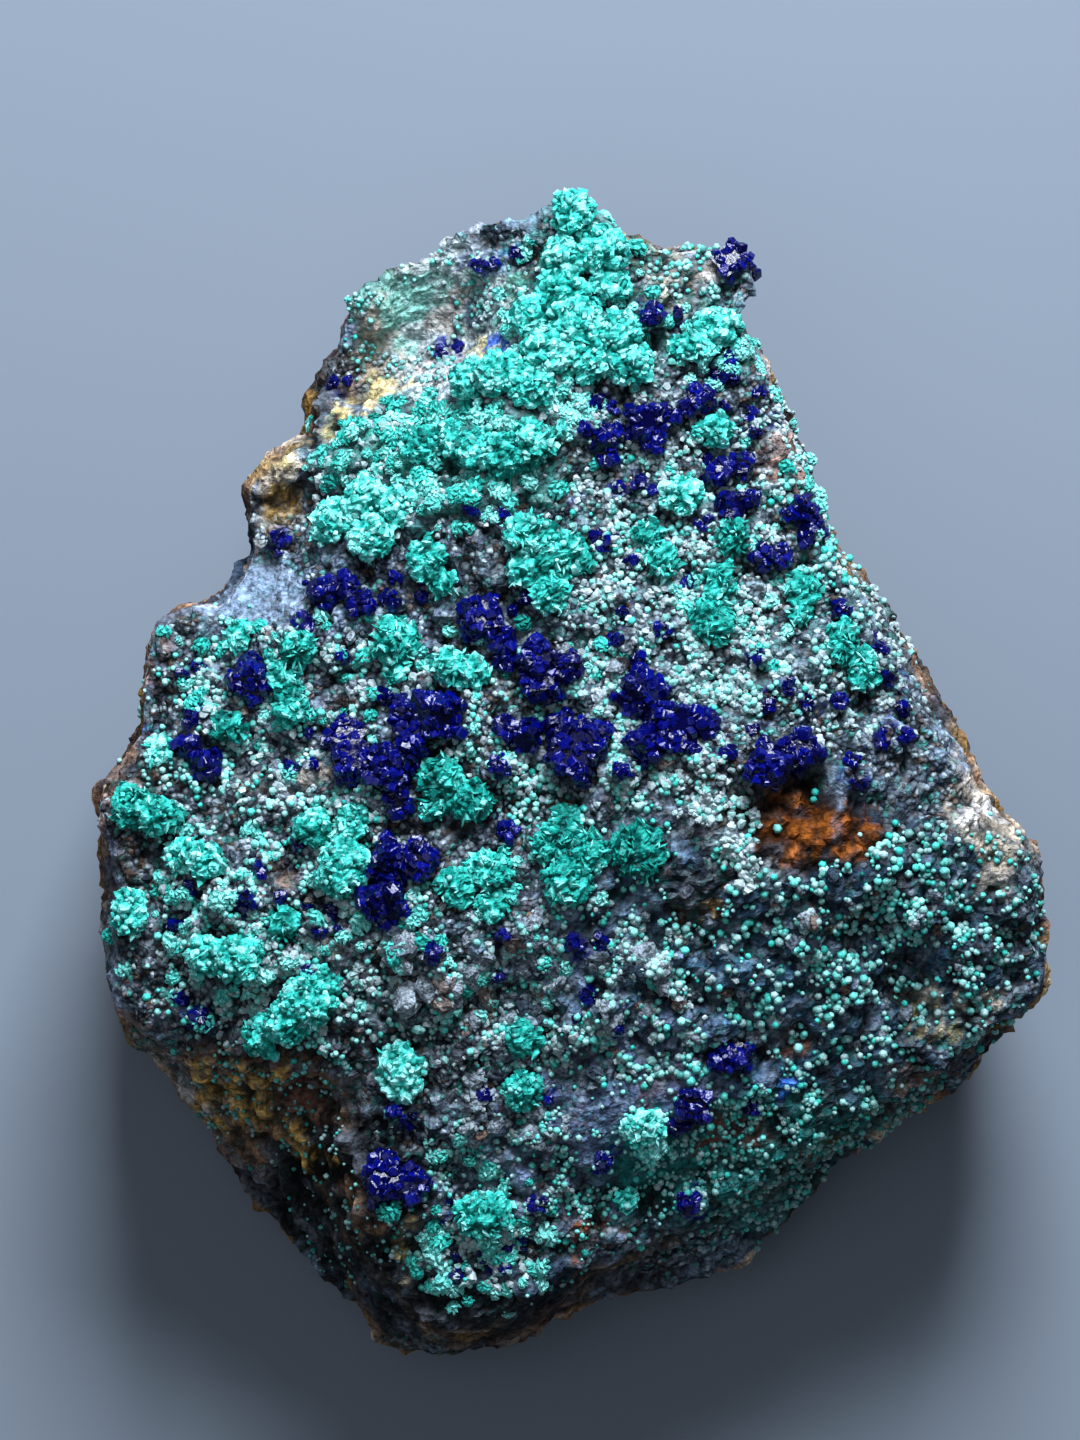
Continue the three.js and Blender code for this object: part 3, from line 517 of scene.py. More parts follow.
# Single azurites too small for a node of their own: x, y, radius
SMALL_AZURITES = [
    (-7.9, 41.3, 0.65), (-6.6, 41.3, 0.65), (-4.6, 42.3, 0.65), (-1.2, 42.6, 0.55), (-1.4, 41, 0.55),
    (2.3, 39.1, 0.5), (-10.7, 34.6, 0.65), (-9.4, 34.9, 0.4), (6.3, 37.1, 1.1), (8.4, 37.4, 0.5),
    (1.7, 30.2, 0.8), (3.4, 29.8, 0.65), (1, 28.1, 0.8), (5, 23.8, 0.7), (6.1, 23, 0.55), (3.7, 23.3, 0.5),
    (-8.3, 23.1, 0.4), (12.4, 34.2, 0.5), (12.6, 33.4, 0.55), (11.8, 32.4, 0.7), (12.7, 32.2, 0.65),
    (14.9, 31, 0.55), (12.2, 29.9, 0.5), (14.2, 29.3, 0.65), (14.5, 27.8, 0.65), (10.9, 25.4, 0.5),
    (10.3, 20.5, 0.65), (9, 15.8, 0.65), (21.4, 13.5, 0.8), (7, 11.8, 0.7), (24.5, 10.5, 0.7),
    (14.5, 9.8, 0.7), (25.2, 8.1, 0.7), (17.2, 7.3, 0.65), (15.4, 6, 0.7), (18.6, 6, 0.7), (21.1, 6.1, 0.8),
    (26.4, 5.7, 0.7), (14.2, 4.1, 0.55), (24.6, 3.1, 0.8), (26.6, 3.4, 0.8), (12.2, 2.2, 0.7),
    (22.1, 1.4, 0.7), (22.8, -0.3, 0.7), (5, 9.5, 0.65), (3.9, 13.4, 0.5), (3.3, 11, 0.65),
    (-19.6, 32.1, 0.5), (-18.3, 32.3, 0.4), (-8.6, 22.7, 0.5), (-8.2, 21.4, 0.7), (-5.7, 21.4, 0.55),
    (2.1, 19.1, 0.9), (4.6, 17.4, 0.65),
    (-12.2, 14.6, 0.5), (-3.9, 14.4, 0.7), (-4.9, 13.4, 0.4), (-5.9, 1.1, 0.95), (3.8, 0.9, 0.9),
    (-23.9, 19.1, 0.95), (-14.3, 16.1, 0.5), (-18.5, 9.8, 0.6), (-30.2, 8.9, 0.65), (-31.5, 8.3, 0.5),
    (-15.2, 6.6, 0.8), (-21.3, 3.7, 0.4), (-22.6, 0.9, 0.7), (-20.7, 1.1, 0.5), (-22.2, -5.1, 0.65),
    (-25.3, -7.4, 0.7), (-26.4, -9.8, 1.0), (-30.7, -8.7, 0.5), (-32.2, -11.9, 0.7), (-23.4, -9.4, 0.55),
    (-21.5, -10.2, 0.5), (-19.4, -10.6, 0.55), (-19.1, -12.1, 0.5), (-20.3, -12.1, 0.55),
    (-21.1, -15.4, 0.65), (-31.6, -17.8, 0.65), (-30.1, -19.3, 1.05), (-5.3, -4.2, 0.9), (-7.3, -2.9, 0.35),
    (-11, -13.7, 0.95), (-5.5, -12.6, 0.7), (-6, -15.8, 0.5), (0, -13, 0.8), (2.1, -13, 0.65),
    (1.1, -17.3, 0.7), (3.4, -19.9, 0.65), (0.1, -19.1, 0.35), (-7.3, -25.2, 0.7), (-14.2, -26.4, 0.8),
    (-13.3, -27.4, 0.7), (2.3, -30.8, 0.8), (-2.9, -34.2, 0.8), (-4.3, -37.3, 0.65), (-5.4, -37.8, 0.5),
    (-5.7, -39.3, 0.5), (-9.4, -39.9, 0.5), (-9.5, -38.6, 0.35), (-9.9, -33.9, 0.35), (-10.3, -35.7, 0.4),
    (-7.2, -38.6, 0.6), (-2.1, -25.7, 0.5), (9.3, -34.2, 1.0), (14.4, -26.4, 0.7), (-30.9, 4.7, 0.8),
    (-30.5, 5.9, 0.55),
    (-21.7, 12.6, 0.9), (-14.7, 14.4, 0.95), (4.5, 27.3, 0.55),
]

# Where the small growths lie: kind, x, y, half width, half height, count, smallest and largest radius, tone
SCATTER = [
    ("bead", 16, -14.5, 20, 13.5, 1180, 0.16, 0.42, 0.6),
    ("bead", 28, -12, 11, 10, 560, 0.17, 0.38, 0.5),
    ("bead", 5, -29, 12, 9, 480, 0.14, 0.34, 0.6),
    ("bead", 20, -31, 16, 9, 850, 0.16, 0.34, 0.3),
    ("bead", 12, 16, 13, 14, 850, 0.18, 0.38, 0.75),
    ("bead", 0, 3, 14, 9, 650, 0.17, 0.34, 0.75),
    ("bead", -24, 2, 12, 12, 600, 0.18, 0.38, 0.75),
    ("bead", -22, -14, 14, 11, 680, 0.18, 0.36, 0.7),
    ("bead", -11, 37, 8, 7, 260, 0.14, 0.28, 0.6),
    ("bead", 10, 41, 4.5, 2.8, 160, 0.2, 0.34, 0.6),
    ("bead", -6, -35, 11, 8, 420, 0.14, 0.34, 0.4),
    ("bead", -25, -26, 8, 6, 170, 0.12, 0.26, 0.25),
    ("bead", -18, -35, 6, 7, 110, 0.12, 0.26, 0.3),
    ("bead", -2, -17, 13, 7, 500, 0.16, 0.36, 0.65),
    ("grain", 8, 16, 11, 13, 1400, 0.16, 0.38, 0.9),
    ("grain", 15, 23, 6, 9, 420, 0.16, 0.38, 0.9),
    ("grain", 21, 9, 8, 8, 500, 0.16, 0.38, 0.85),
    ("grain", 3, 4, 13, 7, 900, 0.16, 0.4, 0.6),
    ("grain", 10.8, -2.4, 3.4, 1.3, 110, 0.18, 0.4, 1.0),
    ("grain", 13.4, -5.2, 2.0, 3.8, 130, 0.18, 0.42, 1.0),
    ("grain", -11.1, 25.5, 12, 6, 420, 0.2, 0.44, 0.85),
    ("grain", -7.5, -38.5, 5, 2.8, 260, 0.2, 0.42, 1.0),
    ("grain", -20, 5, 13, 9, 700, 0.18, 0.42, 0.75),
    ("grain", -2, 32, 11, 10, 550, 0.16, 0.38, 0.8),
    ("grain", -22, -12, 14, 10, 900, 0.16, 0.42, 0.65),
    ("grain", -2, -17, 15, 8, 640, 0.16, 0.42, 0.7),
    ("grain", -7, -32, 7, 8, 200, 0.16, 0.36, 0.5),
    ("grain", -11, 37, 8, 7, 200, 0.16, 0.3, 0.4),
    ("tuft", -11.1, 25.5, 12, 6, 340, 0.35, 0.85, 0.55),
    ("tuft", -4, 30, 6, 4, 60, 0.4, 0.8, 0.9),
    ("tuft", -8, -39, 5, 3, 26, 0.5, 0.9, 0.6),
    ("lump", -6, -15, 10, 5, 80, 0.5, 1.15, 0.6),
    ("lump", 6, -17, 7, 6, 40, 0.4, 1.0, 0.5),
    ("lump", -4, -26, 8, 5, 45, 0.4, 1.0, 0.5),
    ("lump", 20, -14, 15, 8, 90, 0.35, 0.9, 0.25),
    ("lump", -23, -6, 11, 11, 90, 0.3, 0.65, 0.6),
    ("lump", 2, 6, 12, 7, 60, 0.35, 0.8, 0.7),
    ("lump", -22, 9, 8, 6, 40, 0.3, 0.6, 0.7),
    ("tuft", 0, 37, 7, 9, 170, 0.4, 0.8, 0.65),
    ("tuft", 10, 34.5, 5, 4, 50, 0.4, 0.7, 0.7),
    ("tuft", 14, 20, 8, 13, 80, 0.4, 0.8, 0.6),
    ("tuft", -23, 8, 11, 8, 80, 0.35, 0.8, 0.5),
    ("tuft", -3, 8, 10, 8, 50, 0.35, 0.7, 0.55),
    ("tuft", -24, -12, 13, 10, 90, 0.4, 0.9, 0.6),
    ("tuft", -8, -36, 9, 8, 50, 0.4, 0.9, 0.55),
    ("tuft", -6, -12, 10, 8, 50, 0.35, 0.8, 0.6),
]

# Where the rock is bare of its fine crust of grains: x, y, half width, half height, how bare
BARE_PATCHES = [
    (-10.7, 37.4, 8, 7, 0.7), (-25.9, 15.1, 5, 3.5, 0.8), (10, 41, 4.5, 2.8, 0.5),
    (16, -13, 22, 13, 0.75), (18, -4.2, 8, 5, 1.0), (-24.7, -28, 10, 8, 0.9), (-18, -38, 9, 10, 0.9),
    (-4, -43, 12, 5, 0.9), (-11, 25.5, 12, 6, 0.7), (-18.5, 30, 5.5, 2.2, 0.9),
    (-24.2, 24, 2.8, 3.5, 0.9), (-19.5, 6, 2.4, 1.2, 0.8),
    (-22, 0.4, 4.5, 1.2, 0.7), (-23.3, -7.5, 2, 1.4, 0.8), (-18.9, -13.4, 2, 1.4, 0.7),
    (18, -31, 18, 8, 0.8), (3, -30, 10, 8, 0.6), (33.7, -2, 3, 8, 0.8), (17.7, 25.7, 2, 4, 0.9),
]


# Where the rock is nearly plain, its knobs low and its mottling faint: x, y, half width, half height
PLAIN_PATCHES = [(-12.2, 36.8, 8.5, 6.5), (-25.9, 15.3, 5, 3.5), (5.5, -28, 7, 4.5)]

# Where hardly any beads, grains or tufts grow: x, y, half width, half height
CLEAR_PATCHES = [
    (19.0, -4.2, 4.4, 2.6), (9.6, -8.6, 2.4, 2.8), (-25.5, 15.6, 3.6, 2.0), (-7.5, 34.9, 2.4, 1.6),
    (-24.3, 24, 2.4, 3.2), (-13, 37, 3.4, 2.6),
    (-15, 31.6, 3, 0.9), (-18.4, 29.8, 2.4, 1.0), (-21.4, 27.4, 2, 1.0), (-19.3, 6.2, 2, 0.8),
    (-20.7, 0.4, 1.8, 0.9),
    (-23.3, -7.5, 1.6, 1.0),
]


def linear(red, green, blue):
    """A colour of 0 to 255 as it is stored, turned into linear light."""
    scaled = np.array((red, green, blue)) / 255
    return np.where(scaled <= 0.04045, scaled / 12.92, ((scaled + 0.055) / 1.055) ** 2.4)


def colour(name):
    return linear(*COLOURS[name])


def copy_of(node):
    """A CAD node's shape as a new bmesh, with its loose triangles joined."""
    form = bmesh.new()
    form.from_mesh(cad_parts[node].data)
    bmesh.ops.remove_doubles(form, verts=form.verts, dist=WELD * MM)
    return form


def mesh_from(name, form):
    mesh = bpy.data.meshes.new(name)
    form.to_mesh(mesh)
    form.free()
    return mesh


def placed_in_scene(name, data):
    """A new object of a mesh, camera or light, put in the scene."""
    piece = bpy.data.objects.new(name, data)
    bpy.context.scene.collection.objects.link(piece)
    return piece


def remeshed(name, form, voxel):
    """An object whose surface follows the form in even small faces."""
    piece = placed_in_scene(name, mesh_from(name, form))
    remesh = piece.modifiers.new("even faces", "REMESH")
    remesh.mode = "VOXEL"
    remesh.voxel_size = voxel * MM
    graph = bpy.context.evaluated_depsgraph_get()
    piece.data = bpy.data.meshes.new_from_object(piece.evaluated_get(graph))
    piece.data.name = name
    piece.modifiers.clear()
    return piece


def points_of(mesh):
    """The mesh's vertices in millimetres, and their normals."""
    points = np.empty(len(mesh.vertices) * 3, np.float32)
    normals = np.empty(len(mesh.vertices) * 3, np.float32)
    mesh.vertices.foreach_get("co", points)
    mesh.vertices.foreach_get("normal", normals)
    return points.reshape(-1, 3) / MM, normals.reshape(-1, 3)


def move_points(mesh, points):
    mesh.vertices.foreach_set("co", (points * MM).astype(np.float32).ravel())
    mesh.update()


def set_tint(mesh, tint):
    """Keeps one colour a vertex on the mesh, for its material to read."""
    rgba = np.ones((len(mesh.vertices), 4), np.float32)
    rgba[:, :3] = np.clip(tint, 0, 1)
    mesh.color_attributes.new("tint", "FLOAT_COLOR", "POINT").data.foreach_set("color", rgba.ravel())


def triangles_of(mesh):
    """The mesh's triangles, with their middles, normals and areas."""
    mesh.calc_loop_triangles()
    corners = np.empty(len(mesh.loop_triangles) * 3, np.int32)
    mesh.loop_triangles.foreach_get("vertices", corners)
    points, _ = points_of(mesh)
    faces = corners.reshape(-1, 3)
    a, b, c = points[faces[:, 0]], points[faces[:, 1]], points[faces[:, 2]]
    cross = np.cross(b - a, c - a)
    size = np.linalg.norm(cross, axis=1)
    return {
        "a": a, "b": b, "c": c, "faces": faces, "middle": (a + b + c) / 3,
        "normal": cross / np.maximum(size, 1e-9)[:, None], "area": size / 2,
    }


def smooth_step(low, high, value):
    """Goes from 0 at the low value to 1 at the high one, which may be the smaller of the two."""
    share = np.clip((value - low) / (high - low), 0, 1)
    return share * share * (3 - 2 * share)


def mix(first, second, share):
    return first + (second - first) * np.asarray(share)[..., None]


def swell(points, name):
    """Rough noise at each point, about -1 to 1."""
    width, octaves, shift = SWELLS[name]
    return np.array([
        noise.fractal(Vector(point) / width, OCTAVE_FALL, OCTAVE_STEP, octaves)
        for point in (points + shift).tolist()
    ])


def cells(points, size):
    """How near each point is to the middle of a lump of that size: 1 there, and 0 between lumps."""
    nearest = np.array([noise.voronoi(Vector(point) / size)[0][0] for point in points.tolist()])
    return 1 - np.clip(nearest / CELL_EDGE, 0, 1) ** 2


def creases(points, size):
    """Sharp ridges of that spacing: 1 on a ridge and 0 between ridges."""
    values = np.array([noise.noise(Vector(point) / size) for point in points.tolist()])
    return 1 - np.clip(np.abs(values) * CREASE_SHARPNESS, 0, 1)


def warped(points, width, reach):
    """The points, each shifted a little, so that the edge of a patch is ragged."""
    shift = np.array([noise.noise_vector(Vector(point) / width) for point in points.tolist()])
    return points + shift * reach


def oval_distance(points, oval):
    """How far each point is from the middle of an oval on the face, where its rim is at 1."""
    x, y, half_width, half_height = oval
    return np.hypot(
        (points[:, 0] - FACE_MIDDLE[0] - x) / half_width,
        (points[:, 1] - FACE_MIDDLE[1] - y) / half_height,
    )


def plain_share(points, normals):
    """How plain the rock is: 1 on its bare plates, and 0 elsewhere."""
    share = np.zeros(len(points))
    for oval in PLAIN_PATCHES:
        share = np.maximum(share, smooth_step(*PLAIN_EDGE, oval_distance(points, oval)))
    return share * smooth_step(*PLAIN_SLOPE, normals[:, 2])


def crust_share(points, normals):
    """How thickly the fine crust of grains covers the rock, from 0 to 1."""
    loose = warped(points, *CRUST_WARP)
    share = smooth_step(*CRUST_SLOPE, normals[:, 2]) * smooth_step(*CRUST_HEIGHT, points[:, 2])
    for *oval, bare in BARE_PATCHES:
        share *= 1 - bare * smooth_step(*BARE_EDGE, oval_distance(loose, oval))
    drifts = smooth_step(*CRUST_DRIFTS, swell(points, "crust drifts"))
    return share * (CRUST_THIN + (1 - CRUST_THIN) * drifts)


def growing_share(places):
    """How readily small growths settle at each place: in drifts, and not on the clear stone."""
    share = GROWTH_SPARSE + smooth_step(*GROWTH_DRIFTS, swell(places, "growth drifts"))
    for oval in CLEAR_PATCHES:
        outside = smooth_step(*CLEAR_EDGE, oval_distance(places, oval))
        share *= GROWTH_ON_CLEAR + (1 - GROWTH_ON_CLEAR) * outside
    return share


def patch_tint(points, loose, specks):
    """The face's ground tone, with its ragged patches over it."""
    ground = smooth_step(*GROUND_TONE, swell(points, "broad tone"))
    tint = mix(colour("grey_brown"), colour("grey_lilac"), ground)
    for *oval, name, strength in ROCK_PATCHES:
        away = oval_distance(loose, oval) + PATCH_RAGGEDNESS * specks
        tint = mix(tint, colour(name), strength * smooth_step(*PATCH_EDGE, away))
    return tint


def stain_share(loose):
    """How blue the rock is under the single azurites, from 0 to 1."""
    stain = np.zeros(len(loose))
    for x, y, radius in SMALL_AZURITES:
        stain = np.maximum(stain, smooth_step(*STAIN_EDGE, oval_distance(loose, (x, y, radius, radius))))
    return stain


def side_tint(points):
    """Browns in leaning layers, with darker and yellower bands."""
    leaning = points * LAYER_STRETCH
    leaning[:, 2] += LAYER_TILT * points[:, 0]
    noises = {"side layers": swell(leaning, "side layers"), "side blotches": swell(points, "side blotches")}
    tint = colour("dark_brown")
    for pattern, name, strength, start, full in SIDE_COLOURS:
        tint = mix(tint, colour(name), strength * smooth_step(start, full, noises[pattern]))
    return tint


def rock_tint(points, normals, height):
    """The rock's colour: patches on its face, layered browns on its sides, and grit, painted shade in hollows
    and painted light on knobs all over.
    """
    noises = {name: swell(points, name) for name in ("spots", "specks", "pit_shade")}
    loose = warped(warped(points, *BROAD_WARP), *FINE_WARP)
    plain = plain_share(points, normals)
    tint = patch_tint(points, loose, noises["specks"])
    for name, strength, start, full in ROCK_SPOTS:
        spots = strength * (1 - PLAIN_WEAR * plain) * smooth_step(start, full, noises["spots"])
        tint = mix(tint, colour(name), spots)
    side = smooth_step(*SIDE_SLOPE, normals[:, 2]) * smooth_step(*SIDE_HEIGHT, points[:, 2]) * (1 - plain)
    tint = mix(tint, side_tint(points), side)
    tint = mix(tint, colour("azurite_stain"), stain_share(loose) * (1 - side))
    for pattern, factor, lift, strength, start, full, wear in ROCK_GRIT:
        grit = strength * (1 - wear * plain) * smooth_step(start, full, noises[pattern])
        tint = mix(tint, np.minimum(tint * factor + lift, 1), grit)
    # Painted shade in the hollows and painted light on the knobs, by the relief's height
    shade = PAINTED_SHADE_LEAST + PAINTED_SHADE_RANGE * smooth_step(*PAINTED_SHADE_HEIGHTS, height)
    return tint * (shade + (1 - shade) * PLAIN_LIGHT * plain)[:, None]


def rock_relief(points, normals):
    """How far the rock is pushed out: knobs on its face, layered breaks on its sides, and grit."""
    plain = plain_share(points, normals)
    side = smooth_step(*BREAK_SLOPE, normals[:, 2]) * (1 - plain)
    knobs = sum(height * (cells(points + shift, size) - level) for size, shift, height, level in KNOBS)
    knobs *= 1 - PLAIN_WEAR * plain
    grit = GRIT_HEIGHT * swell(points, "rock grit")
    grit += GRIT_CREASE_HEIGHT * (creases(points, GRIT_CREASE_SIZE) - CREASE_LEVEL)
    breaks = BREAK_HEIGHT * swell(points * BREAK_STRETCH, "rock breaks")
    breaks += BREAK_CREASE_HEIGHT * (creases(points, BREAK_CREASE_SIZE) - CREASE_LEVEL)
    return knobs * (1 - side) + grit + breaks * side


def make_rock():
    """The rock, with its grit and its broken sides, flat on the ground."""
    rock = remeshed("rock", copy_of("rock_matrix"), ROCK_VOXEL)
    points, normals = points_of(rock.data)
    height = rock_relief(points, normals)
    moved = points + normals * height[:, None]
    moved[:, 2] = np.maximum(moved[:, 2], 0)
    move_points(rock.data, moved)
    set_tint(rock.data, rock_tint(points, normals, height))
    crust = rock.data.attributes.new("crust", "FLOAT", "POINT")
    crust.data.foreach_set("value", crust_share(points, normals).astype(np.float32))
    return rock


def template(form):
    """A small shape as corners, triangles and how far up each corner is, from 0 to 1."""
    bmesh.ops.triangulate(form, faces=form.faces)
    form.verts.ensure_lookup_table()
    corners = np.array([vert.co for vert in form.verts])
    faces = np.array([[vert.index for vert in face.verts] for face in form.faces])
    form.free()
    up = (corners[:, 2] - corners[:, 2].min()) / np.ptp(corners[:, 2])
    return corners, faces, up


def bead_shape():
    form = bmesh.new()
    bmesh.ops.create_uvsphere(form, u_segments=6, v_segments=4, radius=1)
    return template(form)


def stone_shape(subdivisions):
    """A rough lump of stone."""
    form = bmesh.new()
    bmesh.ops.create_icosphere(form, subdivisions=subdivisions, radius=1)
    for vert in form.verts:
        swells = [noise.noise(vert.co * scale + shift) for scale, shift in STONE_SWELLS]
        vert.co *= 1 + STONE_ROUGHNESS * swells[0] + STONE_ROUGHNESS * swells[1]
    return template(form)


def tuft_shape(rng):
    """A small ball of blades that stand out from its middle."""
    form = bmesh.new()
    for place in range(BLADES_PER_TUFT):
        turn = GOLDEN_ANGLE * place
        rise = 1 - TUFT_COVER * (place + 0.5) / BLADES_PER_TUFT
        out = math.sqrt(1 - rise * rise)
        outward = Vector((out * math.cos(turn), out * math.sin(turn), rise))
        blade = bmesh.ops.create_cone(
            form, cap_ends=True, segments=4, radius1=0.2, radius2=0.42, depth=0.62
        )["verts"]
        bmesh.ops.scale(form, verts=blade, vec=(1, BLADE_THICKNESS, 1))
        spin = Matrix.Rotation(rng.uniform(0, math.pi), 3, "Z")
        bmesh.ops.rotate(form, verts=blade, matrix=outward.to_track_quat("Z", "Y").to_matrix() @ spin)
        bmesh.ops.translate(form, verts=blade, vec=outward * rng.uniform(*BLADE_REACH))
    bmesh.ops.create_icosphere(form, subdivisions=1, radius=0.6)
    return template(form)


def petal_shape():
    """A thin crystal blade that widens upwards from its root to a slanted edge."""
    form = bmesh.new()
    bmesh.ops.create_cone(form, cap_ends=True, segments=4, radius1=0.5, radius2=1, depth=2)
    for vert in form.verts:
        vert.co.z += PETAL_SLANT * vert.co.x
    bmesh.ops.scale(form, verts=form.verts, vec=PETAL_FORM)
    return template(form)


def chip_shape():
    """A tiny crystal grain with flat sides, narrower at one end."""
    form = bmesh.new()
    bmesh.ops.create_cone(form, cap_ends=True, segments=4, radius1=1.2, radius2=0.85, depth=1.7)
    return template(form)


def block_shape(lean):
    """A short crystal with slanted ends and its edges worn."""
    form = bmesh.new()
    bmesh.ops.create_cube(form, size=2)
    for vert in form.verts:
        vert.co.x += lean * vert.co.z
    bmesh.ops.bevel(
        form, geom=form.edges, offset=BLOCK_WEAR, segments=1, profile=0.5, affect="EDGES", material=-1
    )
    return template(form)


def rounded_shape():
    """A crystal with many sides, nearly round."""
    form = bmesh.new()
    bmesh.ops.create_icosphere(form, subdivisions=1, radius=1.2)
    return template(form)


# The small shapes, and what grows on malachite: a shape, its least and greatest size, and whether it is
# rounded
BEAD = bead_shape()
GRAIN = stone_shape(1)
LUMP = stone_shape(2)
TUFTS = [tuft_shape(np.random.default_rng(place)) for place in range(3)]
BLOCKS = [block_shape(lean) for lean in BLOCK_LEANS] + [rounded_shape()]
BITS = [
    (petal_shape(), 0.24, 0.52, False),
    (chip_shape(), 0.16, 0.34, False),
    (rounded_shape(), 0.14, 0.3, True),
]


def random_turns(rng, count):
    """Turns in every direction, as 3 by 3 matrices."""
    turns = rng.normal(size=(4, count))
    w, x, y, z = turns / np.linalg.norm(turns, axis=0)
    return np.stack([
        np.stack([1 - 2 * (y * y + z * z), 2 * (x * y - w * z), 2 * (x * z + w * y)], -1),
        np.stack([2 * (x * y + w * z), 1 - 2 * (x * x + z * z), 2 * (y * z - w * x)], -1),
        np.stack([2 * (x * z - w * y), 2 * (y * z + w * x), 1 - 2 * (x * x + y * y)], -1),
    ], -2)


def turns_along(rng, directions):
    """Turns that stand each piece along its direction, spun at random about it."""
    up = directions / np.linalg.norm(directions, axis=1, keepdims=True)
    side = np.cross(up, rng.normal(size=up.shape))
    side /= np.linalg.norm(side, axis=1, keepdims=True)
    return np.stack([side, np.cross(up, side), up], -1)


def joined_copies(shape, places, turns, sizes, low, high):
    """Many copies of a small shape as one list of corners, triangles and colours from foot to tip."""
    corners, faces, up = shape
    sized = corners[None] * sizes[:, None, :]
    placed = np.einsum("nij,nvj->nvi", turns, sized) + places[:, None, :]
    all_faces = faces[None] + (np.arange(len(places)) * len(corners))[:, None, None]
    tints = low[:, None, :] + (high - low)[:, None, :] * up[None, :, None]
    return placed.reshape(-1, 3), all_faces.reshape(-1, 3), tints.reshape(-1, 3)


def combined(parts):
    """Several lists of corners, triangles and colours as one."""
    starts = np.cumsum([0] + [len(part[0]) for part in parts[:-1]])
    return (
        np.concatenate([part[0] for part in parts]),
        np.concatenate([part[1] + start for part, start in zip(parts, starts)]),
        np.concatenate([part[2] for part in parts]),
    )


def piece_from(name, part, smooth):
    """An object from a list of corners, triangles and colours, rounded where smooth is true."""
    corners, faces, tints = part
    mesh = bpy.data.meshes.new(name)
    mesh.from_pydata((corners * MM).tolist(), [], faces.tolist())
    mesh.polygons.foreach_set("use_smooth", np.broadcast_to(smooth, len(faces)).copy())
    set_tint(mesh, tints)
    mesh.update()
    return placed_in_scene(name, mesh)


def spots_on(rng, surface, weight, count):
    """Random places on a surface, as many on a part as its area and weight ask for."""
    share = surface["area"] * weight
    picked = rng.choice(len(share), count, p=share / share.sum())
    u, v = rng.random((2, count))
    over = u + v > 1
    u[over], v[over] = 1 - u[over], 1 - v[over]
    a, b, c = surface["a"][picked], surface["b"][picked], surface["c"][picked]
    return a + (b - a) * u[:, None] + (c - a) * v[:, None], surface["normal"][picked]


def malachite_colour(share, tone):
    """Deep green to mint, paler for a higher tone: the growth's own tone, with painted shade in the creases
    and painted light on the tips.
    """
    value = np.clip(share * (TONE_SCALE + TONE_GAIN * tone) + TONE_LIFT * (tone - TONE_MIDDLE), 0, 1)
    tint = colour("malachite_deep")
    for name, start, full in MALACHITE_STEPS:
        tint = mix(tint, colour(name), smooth_step(start, full, value))
    return tint


def tone_drift(points):
    """Paler and deeper parts within a growth."""
    return TONE_DRIFT * swell(points, "malachite drifts")


def malachite_skin(points, normals, faces, tone):
    """The growth's own surface, lumpy, pleated and folded, as corners, triangles and colours, with painted
    light on its raised parts and painted shade in its creases.
    """
    patterns = {
        "lumps": cells(points, LUMP_SIZE),
        "pleats": cells(points + PLEAT_SHIFT, PLEAT_SIZE),
        "folds": creases(points, FOLD_SIZE),
        "roughness": swell(points, "malachite roughness"),
    }
    height = sum(rise * (patterns[name] - level) for name, (rise, level, _) in SKIN_PATTERNS.items())
    # Painted light on the raised parts and painted shade in the creases: the tone follows the height
    pale = sum((part * patterns[name] for name, (_, _, part) in SKIN_PATTERNS.items()), SKIN_TONE)
    tint = malachite_colour(np.clip(pale, 0, 1), tone + tone_drift(points))
    return points + normals * height[:, None], faces, tint


def malachite_bits(rng, surface, middle, tone, shares):
    """The petals, chips and knobs that stand on a growth, and how many triangles each kind has."""
    open_sides = surface["normal"][:, 2] > MALACHITE_SLOPE
    count = int(surface["area"][open_sides].sum() * BITS_PER_AREA)
    places, outward = spots_on(rng, surface, open_sides * 1.0, count)
    away = places - (middle - (0, 0, LEAN_DEPTH))
    lean = outward * LEAN_OUT + away / np.linalg.norm(away, axis=1, keepdims=True)
    lean += rng.normal(size=lean.shape) * LEAN_CHANCE
    tones = np.clip(tone + tone_drift(places) + rng.normal(size=count) * TONE_CHANCE, 0, 1)
    # Painted shade at each bit's root, and a paler tip, partly the crystal's own and partly painted light
    low = malachite_colour(rng.uniform(*BIT_ROOT, count), tones)
    high = malachite_colour(rng.uniform(*BIT_TIP, count), tones)
    kind = rng.choice(len(BITS), count, p=shares)
    parts = []
    for place, (shape, smallest, largest, _) in enumerate(BITS):
        chosen = kind == place
        number = chosen.sum()
        turns = random_turns(rng, number) if place else turns_along(rng, lean[chosen])
        sizes = rng.uniform(smallest, largest, (number, 1)) * rng.uniform(*BIT_STRETCH, (number, 3))
        parts.append(joined_copies(shape, places[chosen], turns, sizes, low[chosen], high[chosen]))
    return parts


def make_malachite(rng, node, tone, shares):
    """A growth of petals, chips and knobs over the node's own lumps."""
    base = remeshed(node, copy_of(node), MALACHITE_VOXEL)
    points, normals = points_of(base.data)
    surface = triangles_of(base.data)
    bpy.data.objects.remove(base)
    skin = malachite_skin(points, normals, surface["faces"], tone)
    parts = malachite_bits(rng, surface, points.mean(0), tone, shares)
    smooth = [np.zeros(len(skin[1]), bool)]
    smooth += [np.full(len(part[1]), rounded) for part, (*_, rounded) in zip(parts, BITS)]
    return piece_from(node, combined([skin, *parts]), np.concatenate(smooth))


